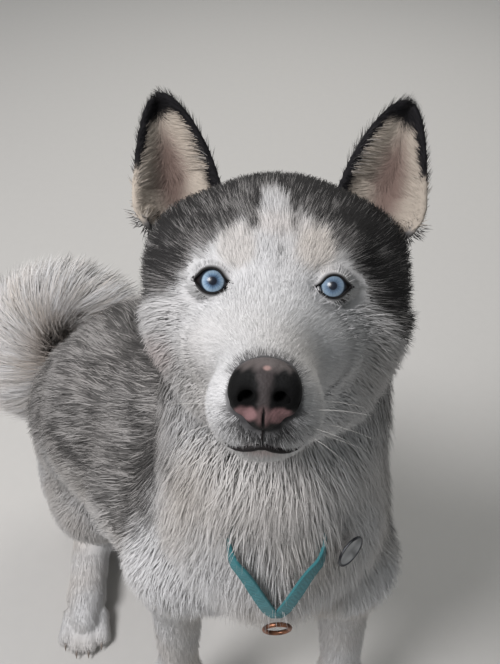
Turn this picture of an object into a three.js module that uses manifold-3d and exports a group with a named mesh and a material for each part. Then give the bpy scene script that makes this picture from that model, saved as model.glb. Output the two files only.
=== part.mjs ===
// Sitting Siberian husky, life size, as a still museum model.
// Millimetres. +Z is up, the head and chest face -Y, and +X is the dog's left.
// The whole coated body is one smooth field of rounded bulks. It is meshed region by
// region and parted with thin plane cuts where a person would name its parts.

import * as THREE from 'three';
import { mergeVertices } from 'three/addons/utils/BufferGeometryUtils.js';
import Module from 'manifold-3d';

const wasm = await Module();
wasm.setup();

// Driving dimensions
const GAP = 0.3;                 // between pieces that meet
const CURVED_GAP = 0.9;          // round a curved piece that is set into the flesh
const EYE_HEIGHT = 703;          // floor to the middle of the eyes
const EYE_SPACING = 65;          // between the pupils
const EYE_OPENING = 24;          // width of the hollow that bares each eye
const EYEBALL_RADIUS = 11;
const HEAD_PITCH = 41.3;         // degrees the face looks up
const HEAD_YAW = 3.6;            // degrees the face is turned to the dog's right
const MUZZLE_LENGTH = 92;        // from the eyes to the front of the lips
const SKULL_HALF_WIDTH = 71;
const EAR_LENGTH = 104;
const EAR_WIDTH = 62;
const NECK_RADIUS = 85;
const CHEST_RADIUS = 114;
const LOIN_RADIUS = 102;
const PELVIS_RADIUS = 98;
const REAR_TURN = 37;            // degrees the seat swings to the dog's right
const FORELEG_SPREAD = 88;       // from the midline to each forefoot
const WRIST_RADIUS = 23;
const PAW_WIDTH = 64;
const TAIL_RADIUS = 58;          // of the brush, to the tips of its hair
const TAIL_CURL_RADIUS = 55;
const COLLAR_WIDTH = 10;
const COLLAR_THICKNESS = 3;

// Mesh cell sizes
const BODY_CELL = 19;
const LEG_CELL = 14;
const PAW_CELL = 10.5;
const HEAD_CELL = 8.5;
const TAIL_CELL = 17;
const NOSE_CELL = 5;

// Share of the faces that simplifying keeps
const BODY_DETAIL = 0.23;
const LEG_DETAIL = 0.25;
const PAW_DETAIL = 0.32;
const HEAD_DETAIL = 0.23;
const TAIL_DETAIL = 0.32;
const BLOCK = 4;                 // cells along a block that is tested at once

// How softly bulks run into each other
const HEAD_SOFTNESS = 24;
const EYE_SOFTNESS = 4;
const TRUNK_SOFTNESS = 32;
const HIND_SOFTNESS = 26;
const TOE_SOFTNESS = 6;
const TAIL_SOFTNESS = 10;
const TORSO_SOFTNESS = 30;
const PAW_SOFTNESS = 14;
const THROAT_SOFTNESS = 26;

// Vector helpers
const vec = (x, y, z) => new THREE.Vector3(x, y, z);
const lerp = THREE.MathUtils.lerp;
const clamp = THREE.MathUtils.clamp;
const radians = THREE.MathUtils.degToRad;

// Rounded bulks: each is a function of a point that gives its distance to the surface

function limb(start, startRadius, end, endRadius) {
  const axis = end.clone().sub(start);
  const lengthSquared = axis.lengthSq();
  const offset = new THREE.Vector3();
  return (point) => {
    offset.copy(point).sub(start);
    const along = clamp(offset.dot(axis) / lengthSquared, 0, 1);
    offset.addScaledVector(axis, -along);
    return offset.length() - lerp(startRadius, endRadius, along);
  };
}

function oval(centre, radii, turn = new THREE.Quaternion()) {
  const back = turn.clone().invert();
  const offset = new THREE.Vector3();
  const scaled = new THREE.Vector3();
  return (point) => {
    offset.copy(point).sub(centre).applyQuaternion(back);
    scaled.copy(offset).divide(radii);
    const near = scaled.length();
    const steep = scaled.divide(radii).length();
    return steep > 0 ? (near * (near - 1)) / steep : -Math.min(radii.x, radii.y, radii.z);
  };
}

function smoothMin(a, b, softness) {
  const overlap = Math.max(softness - Math.abs(a - b), 0) / softness;
  return Math.min(a, b) - (overlap * overlap * softness) / 4;
}

function blend(bulks, softness) {
  return (point) => bulks.reduce((sum, bulk) => smoothMin(sum, bulk(point), softness), 1e4);
}

// The head's own frame: x to the dog's left, y up through the brow, z out along the face,
// with its origin between the eyes
const eyeMiddle = vec(2, -31, EYE_HEIGHT);
const headForward = vec(0, -1, 0)
  .applyAxisAngle(vec(1, 0, 0), -radians(HEAD_PITCH))
  .applyAxisAngle(vec(0, 0, 1), -radians(HEAD_YAW));
const headLeft = vec(1, 0, 0).applyAxisAngle(vec(0, 0, 1), -radians(HEAD_YAW));
const headUp = headForward.clone().cross(headLeft);
const headTurn = new THREE.Quaternion().setFromRotationMatrix(
  new THREE.Matrix4().makeBasis(headLeft, headUp, headForward),
);

function onHead(x, up, forward) {
  return vec(x, up, forward).applyQuaternion(headTurn).add(eyeMiddle);
}

function headOval(x, up, forward, ...radii) {
  return oval(onHead(x, up, forward), vec(...radii), headTurn);
}

function bothSides(make) {
  return [make(1), make(-1)];
}

// Head bulks
const lipFront = MUZZLE_LENGTH;
const headBulks = [
  headOval(1, 12, -62, SKULL_HALF_WIDTH, 60, 62),
  ...bothSides((side) => headOval(side * 50, 14, -66, 33, 36, 38)),
  headOval(0, 4, -16, 30, 26, 20),
  ...bothSides((side) => headOval(side * 31, 17, -20, 18, 13, 13)),
  ...bothSides((side) => headOval(2 + side * 45, -20, -52, 37, 44, 44)),
  ...bothSides((side) => headOval(side * 27, -34, -12, 22, 20, 28)),
  headOval(3, -56, -50, 63, 43, 50),
  limb(onHead(0, -33, 4), 31, onHead(0, -51, lipFront - 28), 23),
  ...bothSides((side) => headOval(side * 11, -57, lipFront - 23, 13, 14, 17)),
  limb(onHead(0, -65, -20), 27, onHead(0, -66, lipFront - 31), 11),
];

// The rear of the body sits turned to the dog's right
const rearForward = vec(Math.sin(radians(REAR_TURN)), -Math.cos(radians(REAR_TURN)), 0);
const rearLeft = vec(-rearForward.y, rearForward.x, 0);
const pelvis = vec(-178, 264, 150);

function onRear(left, back, height) {
  return vec(pelvis.x, pelvis.y, height)
    .addScaledVector(rearLeft, left)
    .addScaledVector(rearForward, -back);
}

// Neck, chest and back bulks
const neckTop = vec(9, 34, 618);
const neckBase = vec(6, 0, 470);
const ribsFront = vec(0, 26, 392);
const ribsMiddle = vec(-44, 84, 388);
const ribsRear = vec(-102, 168, 362);
const loin = vec(-158, 236, 282);
const trunkBulks = [
  limb(neckBase, 96, neckTop, NECK_RADIUS),
  limb(vec(2, -28, 440), 56, vec(7, -26, 556), 52),
  limb(vec(2, 46, 480), 60, neckTop, 66),
  limb(ribsFront, 86, ribsMiddle, CHEST_RADIUS - 2),
  limb(ribsMiddle, CHEST_RADIUS - 2, ribsRear, CHEST_RADIUS),
  limb(ribsRear, CHEST_RADIUS, loin, LOIN_RADIUS),
  limb(loin, LOIN_RADIUS, pelvis, PELVIS_RADIUS),
  limb(pelvis, PELVIS_RADIUS, onRear(0, 10, 74), 78),
  limb(vec(4, 66, 566), 50, vec(-44, 112, 452), 72),
  limb(vec(0, 24, 312), 54, vec(-110, 185, 205), 74),
];

// Forelegs: shoulder, elbow, wrist and foot on each side
const forelegs = bothSides((side) => {
  const x = side * FORELEG_SPREAD;
  return {
    side,
    shoulder: vec(side * 66, -14, 396),
    blade: vec(side * 50, 30, 462),
    elbow: vec(side * 80, 22, 292),
    wrist: vec(x, 2, 112),
    pastern: vec(x, -8, 55),
    foot: vec(x, -34, 0),
    heading: vec(0, -1, 0),
  };
});

// Hind legs: hip, knee, hock and foot; the right one lies nearer the camera's side
const hindLegs = [
  {
    side: 1,
    hip: onRear(40, 0, 186),
    knee: onRear(98, -112, 172),
    hock: onRear(100, 16, 46),
    foot: onRear(100, -122, 0),
    heading: rearForward,
  },
  {
    side: -1,
    hip: onRear(-24, -2, 190),
    knee: vec(-200, 185, 175),
    hock: vec(-226, 276, 46),
    foot: vec(-221, 112, 0),
    heading: vec(0.03, -1, 0).normalize(),
  },
];

const forelegBulks = forelegs.flatMap((leg) => [
  limb(leg.blade, 40, leg.shoulder, 42),
  limb(leg.shoulder, 42, leg.elbow, 34),
  limb(leg.elbow, 33, leg.wrist, WRIST_RADIUS),
  limb(leg.wrist, WRIST_RADIUS, leg.pastern, WRIST_RADIUS),
]);

const hindLegBulks = hindLegs.flatMap((leg) => [
  limb(leg.hip, 68, leg.knee, 48),
  limb(leg.hip, 60, leg.knee.clone().lerp(leg.hock, 0.6).setZ(104), 50),
  limb(leg.knee, 44, leg.hock, 30),
  limb(leg.hock, 31, leg.foot.clone().addScaledVector(leg.heading, -30).setZ(32), 28),
]);

// A paw: four toes that fan out from a low pad
function pawBulks(foot, heading, width) {
  const across = vec(-heading.y, heading.x, 0);
  const toeRadius = width * 0.2;
  const toeHeight = toeRadius * 0.8;
  const at = (left, forward, height) =>
    foot.clone().addScaledVector(across, left).addScaledVector(heading, forward).setZ(height);
  const pad = limb(at(0, -22, 30), width * 0.36, at(0, 2, 24), width * 0.36);
  const toes = [-1.5, -0.5, 0.5, 1.5].map((place) => {
    const reach = Math.abs(place) > 1 ? 20 : 30;
    const spread = place * width * 0.235;
    const knuckle = at(spread * 0.8, -6, toeHeight + 8);
    return limb(knuckle, toeRadius, at(spread, reach, toeHeight), toeRadius);
  });
  return [pad, ...toes];
}

// The tail rises behind the seat and curls over to the dog's left, its curl open to the front
const curlCentre = vec(-251, 365, 261);
const curlUp = vec(0, 0.695, 0.719);
const tailRoot = onRear(0, 76, 150);

function onCurl(degrees, radius) {
  return curlCentre
    .clone()
    .add(vec(Math.cos(radians(degrees)) * radius, 0, 0))
    .addScaledVector(curlUp, Math.sin(radians(degrees)) * radius);
}

const tailPath = new THREE.CatmullRomCurve3([
  tailRoot,
  onRear(-4, 118, 172),
  onCurl(212, TAIL_CURL_RADIUS),
  onCurl(172, TAIL_CURL_RADIUS),
  onCurl(130, TAIL_CURL_RADIUS),
  onCurl(88, TAIL_CURL_RADIUS * 1.05),
  onCurl(44, TAIL_CURL_RADIUS * 1.3),
  onCurl(26, TAIL_CURL_RADIUS * 1.75),
]);
const TAIL_STEPS = 16;

// Brush radius from root to tip
function tailRadius(along) {
  const swell = Math.sin(Math.PI * Math.pow(clamp(along, 0, 1), 0.8));
  return lerp(34, 24, along) + swell * (TAIL_RADIUS - 30);
}

function tailStretch(from, to) {
  const steps = Math.round((to - from) * TAIL_STEPS);
  const bulks = Array.from({ length: steps }, (_, step) => {
    const near = lerp(from, to, step / steps);
    const far = lerp(from, to, (step + 1) / steps);
    const [start, end] = [near, far].map((along) => tailPath.getPointAt(along));
    return limb(start, tailRadius(near), end, tailRadius(far));
  });
  return blend(bulks, TAIL_SOFTNESS);
}

// Fields
const pawField = blend(
  [...forelegs, ...hindLegs].flatMap((leg) => pawBulks(leg.foot, leg.heading, PAW_WIDTH)),
  TOE_SOFTNESS,
);
const roundHead = blend(headBulks, HEAD_SOFTNESS);
const eyeHollows = bothSides((side) =>
  headOval((side * EYE_SPACING) / 2, 0, 5, EYE_OPENING / 2, EYE_OPENING / 3, 9));

function headField(point) {
  const hollowed = (sum, hollow) => -smoothMin(-sum, hollow(point), EYE_SOFTNESS);
  return eyeHollows.reduce(hollowed, roundHead(point));
}

const trunkField = blend([...trunkBulks, ...forelegBulks], TRUNK_SOFTNESS);
const hindField = blend(hindLegBulks, HIND_SOFTNESS);

function bodyField(point) {
  const torso = smoothMin(trunkField(point), hindField(point), TORSO_SOFTNESS);
  const whole = smoothMin(torso, pawField(point), PAW_SOFTNESS);
  return smoothMin(whole, headField(point), THROAT_SOFTNESS);
}

// Meshing: one vertex for each sheet of the surface in a cell, pulled onto the surface
const CORNERS = [0, 1, 2, 3, 4, 5, 6, 7].map((i) => [i & 1, (i >> 1) & 1, (i >> 2) & 1]);
const EDGES = [1, 2, 4].flatMap((bit) =>
  [0, 1, 2, 3, 4, 5, 6, 7].filter((i) => (i & bit) === 0).map((i) => [i, i | bit]));
const FACES = [1, 2, 4].flatMap((bit) => [0, bit].map((side) =>
  EDGES.map((edge, index) => index).filter((index) => EDGES[index].every((i) => (i & bit) === side))));

function sheetsInCell(inside) {
  const sheet = EDGES.map((edge, index) => index);
  const crossed = (index) => inside[EDGES[index][0]] !== inside[EDGES[index][1]];
  const join = (a, b) => {
    const [keep, drop] = [sheet[a], sheet[b]];
    sheet.forEach((id, index) => {
      if (id === drop) sheet[index] = keep;
    });
  };
  FACES.forEach((face) => {
    const cuts = face.filter(crossed);
    if (cuts.length === 2) {
      join(cuts[0], cuts[1]);
    } else if (cuts.length === 4) {
      const solidCorners = CORNERS.map((corner, i) => i).filter((i) =>
        inside[i] && face.some((index) => EDGES[index].includes(i)));
      solidCorners.forEach((i) => {
        const pair = face.filter((index) => EDGES[index].includes(i));
        join(pair[0], pair[1]);
      });
    }
  });
  const sheets = new Map();
  EDGES.forEach((edge, index) => {
    if (crossed(index)) sheets.set(sheet[index], [...(sheets.get(sheet[index]) ?? []), index]);
  });
  return [...sheets.values()];
}

function pullOntoSurface(field, point, reach) {
  const step = 0.5;
  for (let round = 0; round < 3; round += 1) {
    const here = field(point);
    const slope = vec(
      field(point.clone().add(vec(step, 0, 0))) - field(point.clone().add(vec(-step, 0, 0))),
      field(point.clone().add(vec(0, step, 0))) - field(point.clone().add(vec(0, -step, 0))),
      field(point.clone().add(vec(0, 0, step))) - field(point.clone().add(vec(0, 0, -step))),
    ).divideScalar(2 * step);
    const steepness = Math.max(slope.lengthSq(), 0.05);
    point.addScaledVector(slope, clamp(-here / steepness, -reach, reach));
  }
  return point;
}

function meshField(field, box, cell) {
  const low = box.min.clone().addScalar(-2.5 * cell);
  const size = box.getSize(new THREE.Vector3()).addScalar(5 * cell).divideScalar(cell).ceil();
  const [nx, ny, nz] = [size.x + 1, size.y + 1, size.z + 1];
  const values = new Float64Array(nx * ny * nz);
  const at = (i, j, k) => i + nx * (j + ny * k);
  const corner = (i, j, k) => vec(i, j, k).multiplyScalar(cell).add(low);
  const onBorder = (i, j, k) => i * j * k === 0 || i === nx - 1 || j === ny - 1 || k === nz - 1;
  // Blocks that lie clear of the surface take the distance at their middle
  const reach = BLOCK * cell * 0.9;
  const starts = (count) => Array.from({ length: Math.ceil(count / BLOCK) }, (_, i) => i * BLOCK);
  const fillBlock = (bi, bj, bk) => {
    const middle = field(corner(bi + BLOCK / 2, bj + BLOCK / 2, bk + BLOCK / 2));
    for (let k = bk; k < Math.min(bk + BLOCK, nz); k += 1) {
      for (let j = bj; j < Math.min(bj + BLOCK, ny); j += 1) {
        for (let i = bi; i < Math.min(bi + BLOCK, nx); i += 1) {
          const distance = Math.abs(middle) > reach ? middle : field(corner(i, j, k)) || 1e-6;
          values[at(i, j, k)] = onBorder(i, j, k) ? Math.max(distance, cell / 2) : distance;
        }
      }
    }
  };
  starts(nx).forEach((bi) => starts(ny).forEach((bj) => starts(nz).forEach((bk) => {
    fillBlock(bi, bj, bk);
  })));
  const sheetVertex = new Map();
  const positions = [];
  for (let k = 0; k < nz - 1; k += 1) {
    for (let j = 0; j < ny - 1; j += 1) {
      for (let i = 0; i < nx - 1; i += 1) {
        const level = CORNERS.map(([a, b, c]) => values[at(i + a, j + b, k + c)]);
        const sheets = sheetsInCell(level.map((value) => value < 0));
        sheets.forEach((sheet) => {
          const point = new THREE.Vector3();
          sheet.forEach((index) => {
            const [from, to] = EDGES[index];
            const share = level[from] / (level[from] - level[to]);
            point.add(vec(...CORNERS[from]).lerp(vec(...CORNERS[to]), share));
            sheetVertex.set(at(i, j, k) * EDGES.length + index, positions.length / 3);
          });
          point.divideScalar(sheet.length).add(vec(i, j, k)).multiplyScalar(cell).add(low);
          if (!onBorder(i, j, k) && !onBorder(i + 1, j + 1, k + 1)) {
            pullOntoSurface(field, point, cell * 0.2);
          }
          positions.push(point.x, point.y, point.z);
        });
      }
    }
  }
  const faces = [];
  const distance = (a, b) => Math.hypot(
    positions[3 * a] - positions[3 * b],
    positions[3 * a + 1] - positions[3 * b + 1],
    positions[3 * a + 2] - positions[3 * b + 2],
  );
  const addQuad = (a, b, c, d) => {
    if (distance(a, c) < distance(b, d)) {
      faces.push(a, b, c, a, c, d);
    } else {
      faces.push(a, b, d, b, c, d);
    }
  };
  const steps = [at(1, 0, 0), at(0, 1, 0), at(0, 0, 1)];
  const edgeFrom = (start, axis) => EDGES.findIndex(([from, to]) =>
    from === start && to === (start | (1 << axis)));
  for (let k = 0; k < nz - 1; k += 1) {
    for (let j = 0; j < ny - 1; j += 1) {
      for (let i = 0; i < nx - 1; i += 1) {
        const here = at(i, j, k);
        for (let axis = 0; axis < 3; axis += 1) {
          const near = values[here] < 0;
          const far = values[here + steps[axis]] < 0;
          if (near !== far) {
            const [u, v] = [(axis + 1) % 3, (axis + 2) % 3];
            const ring = [[0, 0], [1, 0], [1, 1], [0, 1]].map(([a, b]) => {
              const cellId = here - a * steps[u] - b * steps[v];
              const edge = edgeFrom(a * (1 << u) + b * (1 << v), axis);
              return sheetVertex.get(cellId * EDGES.length + edge);
            });
            addQuad(...(near ? ring : ring.reverse()));
          }
        }
      }
    }
  }
  const geometry = new THREE.BufferGeometry();
  geometry.setAttribute('position', new THREE.Float32BufferAttribute(positions, 3));
  geometry.setIndex(faces);
  return geometry;
}

// Simplify: collapse the edges that change the shape least, until a share of faces is left
function simplify(geometry, share) {
  const source = geometry.attributes.position.array;
  const points = Array.from({ length: source.length / 3 }, (_, i) =>
    vec(source[3 * i], source[3 * i + 1], source[3 * i + 2]));
  let faces = Array.from({ length: geometry.index.count / 3 }, (_, i) =>
    [0, 1, 2].map((corner) => geometry.index.array[3 * i + corner]));
  const target = faces.length * share;
  const crossOf = (a, b, c) => b.clone().sub(a).cross(c.clone().sub(a));
  const normalOf = (face) => crossOf(...face.map((id) => points[id]));
  const errors = points.map(() => new Float64Array(10));
  faces.forEach((face) => {
    const normal = normalOf(face);
    const area = normal.length();
    normal.normalize();
    const { x, y, z } = normal;
    const w = -normal.dot(points[face[0]]);
    const terms = [x * x, x * y, x * z, x * w, y * y, y * z, y * w, z * z, z * w, w * w];
    face.forEach((id) => terms.forEach((term, i) => {
      errors[id][i] += term * area;
    }));
  });
  const cost = (q, { x, y, z }) =>
    q[0] * x * x + q[4] * y * y + q[7] * z * z + q[9] +
    2 * (q[1] * x * y + q[2] * x * z + q[5] * y * z + q[3] * x + q[6] * y + q[8] * z);
  while (faces.length > target) {
    const around = points.map(() => []);
    faces.forEach((face, index) => face.forEach((id) => around[id].push(index)));
    const edges = [];
    faces.forEach((face) => face.forEach((a, corner) => {
      const b = face[(corner + 1) % 3];
      if (a < b) {
        const sum = errors[a].map((value, i) => value + errors[b][i]);
        const middle = points[a].clone().lerp(points[b], 0.5);
        const places = [points[a], points[b], middle];
        const best = places.reduce((p, q) => (cost(sum, q) < cost(sum, p) ? q : p));
        const price = cost(sum, best) + 1e-3 * points[a].distanceToSquared(points[b]);
        edges.push({ a, b, sum, best, price });
      }
    }));
    edges.sort((p, q) => p.price - q.price);
    const touched = new Set();
    const gone = new Set();
    let quota = Math.min(Math.ceil((faces.length - target) / 2), Math.ceil(faces.length * 0.06));
    edges.some(({ a, b, sum, best }) => {
      const near = [...around[a], ...around[b]];
      const ring = new Set(near.flatMap((index) => faces[index]));
      if ([...ring].some((id) => touched.has(id))) return false;
      const ringOf = (id) => new Set(around[id].flatMap((index) => faces[index]));
      const shared = [...ringOf(a)].filter((id) => ringOf(b).has(id) && id !== a && id !== b);
      if (shared.length !== 2) return false;
      const moved = near.filter((index) => !(faces[index].includes(a) && faces[index].includes(b)));
      const place = best.clone();
      const flips = moved.some((index) => {
        const before = normalOf(faces[index]);
        const corners = faces[index].map((id) => (id === a || id === b ? place : points[id]));
        const after = crossOf(...corners);
        return before.dot(after) < 0.3 * before.length() * after.length();
      });
      if (flips) return false;
      ring.forEach((id) => touched.add(id));
      points[a] = place;
      errors[a] = sum;
      near.forEach((index) => {
        if (faces[index].includes(a) && faces[index].includes(b)) gone.add(index);
      });
      moved.forEach((index) => {
        faces[index] = faces[index].map((id) => (id === b ? a : id));
      });
      quota -= 1;
      return quota <= 0;
    });
    if (gone.size === 0) break;
    faces = faces.filter((face, index) => !gone.has(index));
  }
  const result = new THREE.BufferGeometry();
  const placed = points.flatMap((point) => point.toArray());
  result.setAttribute('position', new THREE.Float32BufferAttribute(placed, 3));
  result.setIndex(faces.flat());
  return result;
}

// Solids for joining and cutting
function toSolid(geometry) {
  const bare = geometry.clone();
  bare.deleteAttribute('normal');
  bare.deleteAttribute('uv');
  const merged = mergeVertices(bare, 1e-4);
  return new wasm.Manifold(new wasm.Mesh({
    numProp: 3,
    vertProperties: new Float32Array(merged.attributes.position.array),
    triVerts: new Uint32Array(merged.index.array),
  }));
}

function toGeometry(solid) {
  const mesh = solid.getMesh();
  const geometry = new THREE.BufferGeometry();
  geometry.setAttribute('position', new THREE.BufferAttribute(mesh.vertProperties, 3));
  geometry.setIndex(new THREE.BufferAttribute(mesh.triVerts, 1));
  return geometry;
}

function largestPiece(solid) {
  const pieces = solid.decompose();
  return pieces.reduce((best, piece) => (piece.volume() > best.volume() ? piece : best));
}

// A half space is a large box whose near face lies on the cutting plane. A positive inset
// moves that face into the kept side.
const HALF_SPACE_SIZE = 4000;

function halfSpace([point, normal], inset) {
  const size = HALF_SPACE_SIZE;
  const direction = normal.clone().normalize();
  const geometry = new THREE.BoxGeometry(size, size, size);
  geometry.applyQuaternion(new THREE.Quaternion().setFromUnitVectors(vec(0, 0, 1), direction));
  const centre = point.clone().addScaledVector(direction, size / 2 + inset);
  geometry.translate(centre.x, centre.y, centre.z);
  return toSolid(geometry);
}

function regionSolid(planes, inset) {
  return planes.map((plane) => halfSpace(plane, inset)).reduce((sum, next) => sum.intersect(next));
}

const floor = [vec(0, 0, 0), vec(0, 0, 1)];

// Parting planes, each a point and the direction of the side that is kept
const headPlane = [onHead(0, -30, -76), headUp.clone().add(headForward)];
const collarPlane = [vec(0, 10, 508), vec(0, -0.42, 0.9)];
const waistPlane = [vec(-96, 164, 330), vec(-0.46, 0.62, -0.62)];
const mouthPlane = [onHead(0, -70, lipFront - 6), headForward.clone().multiplyScalar(0.1).sub(headUp)];
const jawBackPlane = [onHead(0, -70, 16), headForward];

const below = (height) => [vec(0, 0, height), vec(0, 0, -1)];
const leftOf = (x) => [vec(x, 0, 0), vec(1, 0, 0)];
const rightOf = (x) => [vec(x, 0, 0), vec(-1, 0, 0)];
const inFrontOf = (y) => [vec(0, y, 0), vec(0, -1, 0)];
const behind = (y) => [vec(0, y, 0), vec(0, 1, 0)];
const ELBOW_CUT = 318;
const WRIST_CUT = 66;
const HOCK_CUT = 70;

const forelegRegion = (leg) => [
  leg.side > 0 ? leftOf(40) : rightOf(-40),
  leg.side > 0 ? rightOf(150) : leftOf(-134),
  inFrontOf(62),
  [vec(leg.side * 100, 0, ELBOW_CUT), vec(leg.side * 0.35, -0.1, -1)],
];
const forepawRegion = (leg) => [...forelegRegion(leg), below(WRIST_CUT)];
const thighRegion = (leg) => [
  [onRear(leg.side * 48, 0, 0), rearLeft.clone().multiplyScalar(leg.side)],
  [onRear(0, 0, 282), vec(0, 0, -1).addScaledVector(rearLeft, leg.side * 0.3)],
  [onRear(0, -190, 0), rearForward.clone().negate()],
  [vec(-150, 96, 0), vec(-0.2, 1, 0)],
];
const hindFootRegion = (leg) => {
  const across = vec(-leg.heading.y, leg.heading.x, 0);
  return [
    below(HOCK_CUT),
    [leg.foot.clone().addScaledVector(across, -48), across],
    [leg.foot.clone().addScaledVector(across, 48), across.clone().negate()],
    [leg.foot.clone().addScaledVector(leg.heading, 70), leg.heading.clone().negate()],
    [leg.foot.clone().addScaledVector(leg.heading, -116), leg.heading],
  ];
};

// Parting: every part takes its region out of what the earlier parts have left
const takenRegions = [];

function meshBox(planes, cell) {
  const solid = regionSolid([...planes, floor], 0);
  const wide = new THREE.Box3(vec(-420, -200, -20), vec(200, 560, 900));
  const bounds = solid.boundingBox();
  const box = new THREE.Box3(vec(...bounds.min), vec(...bounds.max)).intersect(wide);
  return box.expandByScalar(cell);
}

function carve(planes, field, cell, share) {
  const shape = toSolid(simplify(meshField(field, meshBox(planes, cell), cell), share));
  let part = shape.intersect(regionSolid(planes, GAP / 2)).intersect(regionSolid([floor], 0));
  takenRegions.forEach((taken) => {
    part = part.subtract(taken);
  });
  takenRegions.push(regionSolid(planes, -GAP / 2));
  return largestPiece(part);
}

// Ears: a cupped leaf with a thick root, set into the head
const EAR_ROWS = 7;
const EAR_COLUMNS = 6;
const EAR_SUNK = 0.22;           // share of the length that lies in the head
const EAR_CUP = 17;
const EAR_ROOT_THICKNESS = 6.5;
const EAR_TIP_THICKNESS = 3;
const EAR_BOW = 2;               // how far the middle of the ear bends inwards
const EAR_OUTER_LIFT = 0.3;      // the outer corner of the base sits higher

function earGeometry(side, grow) {
  const rows = EAR_ROWS;
  const columns = EAR_COLUMNS;
  const base = onHead(side * 61, 38, -72);
  const tip = onHead(side * 78, 38 + EAR_LENGTH * 0.77, -66);
  const inner = onHead(side * 31, 66, -76);
  const outer = onHead(side * 88, 22, -68);
  const across = outer.clone().sub(inner).normalize();
  const rise = tip.clone().sub(base);
  const face = across.clone().cross(rise).normalize().multiplyScalar(side);
  if (face.dot(headForward) < 0) face.negate();
  const root = base.clone()
    .addScaledVector(rise, -EAR_SUNK - grow / EAR_LENGTH)
    .addScaledVector(face, -4);
  const point = (row, column, surface) => {
    const up = row / rows;
    const turn = (column / columns) * 2 - 1;
    const halfWidth = (EAR_WIDTH / 2) * Math.pow(1 - Math.pow(up, 1.55), 0.62) + 1.5;
    const aside = turn * (1 + grow / halfWidth);
    const cup = EAR_CUP * (1 - up * 0.75) * (1 - aside * aside);
    const thickness = lerp(EAR_ROOT_THICKNESS, EAR_TIP_THICKNESS, up) * Math.sqrt(1.04 - turn * turn);
    const bow = EAR_BOW * Math.sin(up * Math.PI);
    const lift = EAR_OUTER_LIFT * (1 - up) * Math.max(turn, 0);
    return root
      .clone()
      .addScaledVector(tip.clone().sub(root), up + lift)
      .addScaledVector(across, aside * halfWidth - bow)
      .addScaledVector(face, -cup + surface * (thickness / 2 + grow));
  };
  const positions = [];
  const ring = 2 * columns;
  for (let row = 0; row <= rows; row += 1) {
    for (let step = 0; step < ring; step += 1) {
      const front = step <= columns;
      const column = front ? step : ring - step;
      const atEdge = step === 0 || step === columns;
      positions.push(...point(row, column, atEdge ? 0 : front ? 1 : -1).toArray());
    }
  }
  const rootCap = positions.length / 3;
  positions.push(...point(0, columns / 2, 0).toArray());
  positions.push(...point(rows, columns / 2, 0).addScaledVector(rise, 0.02).toArray());
  const faces = [];
  for (let row = 0; row < rows; row += 1) {
    for (let step = 0; step < ring; step += 1) {
      const next = (step + 1) % ring;
      const a = row * ring + step;
      const b = row * ring + next;
      faces.push(a, b, b + ring, a, b + ring, a + ring);
    }
  }
  for (let step = 0; step < ring; step += 1) {
    const next = (step + 1) % ring;
    faces.push(next, step, rootCap);
    faces.push(rows * ring + step, rows * ring + next, rootCap + 1);
  }
  const geometry = new THREE.BufferGeometry();
  geometry.setAttribute('position', new THREE.Float32BufferAttribute(positions, 3));
  geometry.setIndex(faces);
  return outward(geometry);
}

function outward(geometry) {
  const position = geometry.attributes.position;
  const index = geometry.index;
  const [a, b, c] = [vec(0, 0, 0), vec(0, 0, 0), vec(0, 0, 0)];
  let volume = 0;
  for (let i = 0; i < index.count; i += 3) {
    a.fromBufferAttribute(position, index.getX(i));
    b.fromBufferAttribute(position, index.getX(i + 1));
    c.fromBufferAttribute(position, index.getX(i + 2));
    volume += a.dot(b.cross(c));
  }
  if (volume < 0) {
    geometry.setIndex(Array.from(index.array).reverse());
  }
  return geometry;
}

// Eyes, nose leather, collar, ring and tag
const EYE_PROUD = 2.5;           // how far the eye comes forward of the line between the eyes
const EYE_SLICES = 14;
const EYE_BANDS = 9;

function eyeSolid(side, grow) {
  const sphere = new THREE.SphereGeometry(EYEBALL_RADIUS + grow, EYE_SLICES, EYE_BANDS);
  const centre = onHead((side * EYE_SPACING) / 2, 0, EYE_PROUD - EYEBALL_RADIUS);
  sphere.translate(centre.x, centre.y, centre.z);
  return toSolid(sphere);
}

const NOSE_SOFTNESS = 5;
const NOSE_ROOM = 64;            // side of the box that the nose is meshed in
const noseField = blend([
  headOval(0, -44, lipFront - 8, 15, 11.5, 12),
  ...bothSides((side) => headOval(side * 8.5, -47, lipFront - 7, 8, 9.5, 11)),
  headOval(0, -57, lipFront - 5, 7, 8, 7),
], NOSE_SOFTNESS);

function noseSolid(grow) {
  const room = vec(NOSE_ROOM, NOSE_ROOM, NOSE_ROOM);
  const box = new THREE.Box3().setFromCenterAndSize(onHead(0, -46, lipFront - 4), room);
  return toSolid(meshField((point) => noseField(point) - grow, box, NOSE_CELL));
}

const COLLAR_STEPS = 48;
const COLLAR_DIP = 66;
const COLLAR_DIP_SPREAD = 0.32;
const COLLAR_SIDE_HEIGHT = 531;
const COLLAR_BURIED = 26;
const COLLAR_ROUND = 85;         // radius of the neck where the collar lies
const COLLAR_MIDDLE = vec(8, 10, COLLAR_SIDE_HEIGHT - COLLAR_DIP);
const COLLAR_PROUD = 1.5;        // how far the bare V stands off the breast
const COLLAR_NAPE_RISE = 52;
const COLLAR_CORNER = 24;        // how softly the V turns into the level sides
const COLLAR_LEAN = -0.2;
const COLLAR_CROWDING = 1.7;     // the steps lie closer together in the V
const SETTLING_ROUNDS = 24;
const SETTLING_PACE = 0.8;
const BEND_RADIUS = 10;
const BEND_SLOPE = radians(65);

// Height above the lowest point of the V, at a distance along the neck from it
function riseOfV(distance) {
  const arc = BEND_RADIUS * Math.sin(BEND_SLOPE);
  if (distance < arc) return BEND_RADIUS - Math.sqrt(BEND_RADIUS ** 2 - distance ** 2);
  return BEND_RADIUS * (1 - Math.cos(BEND_SLOPE)) + (distance - arc) * Math.tan(BEND_SLOPE);
}

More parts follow.
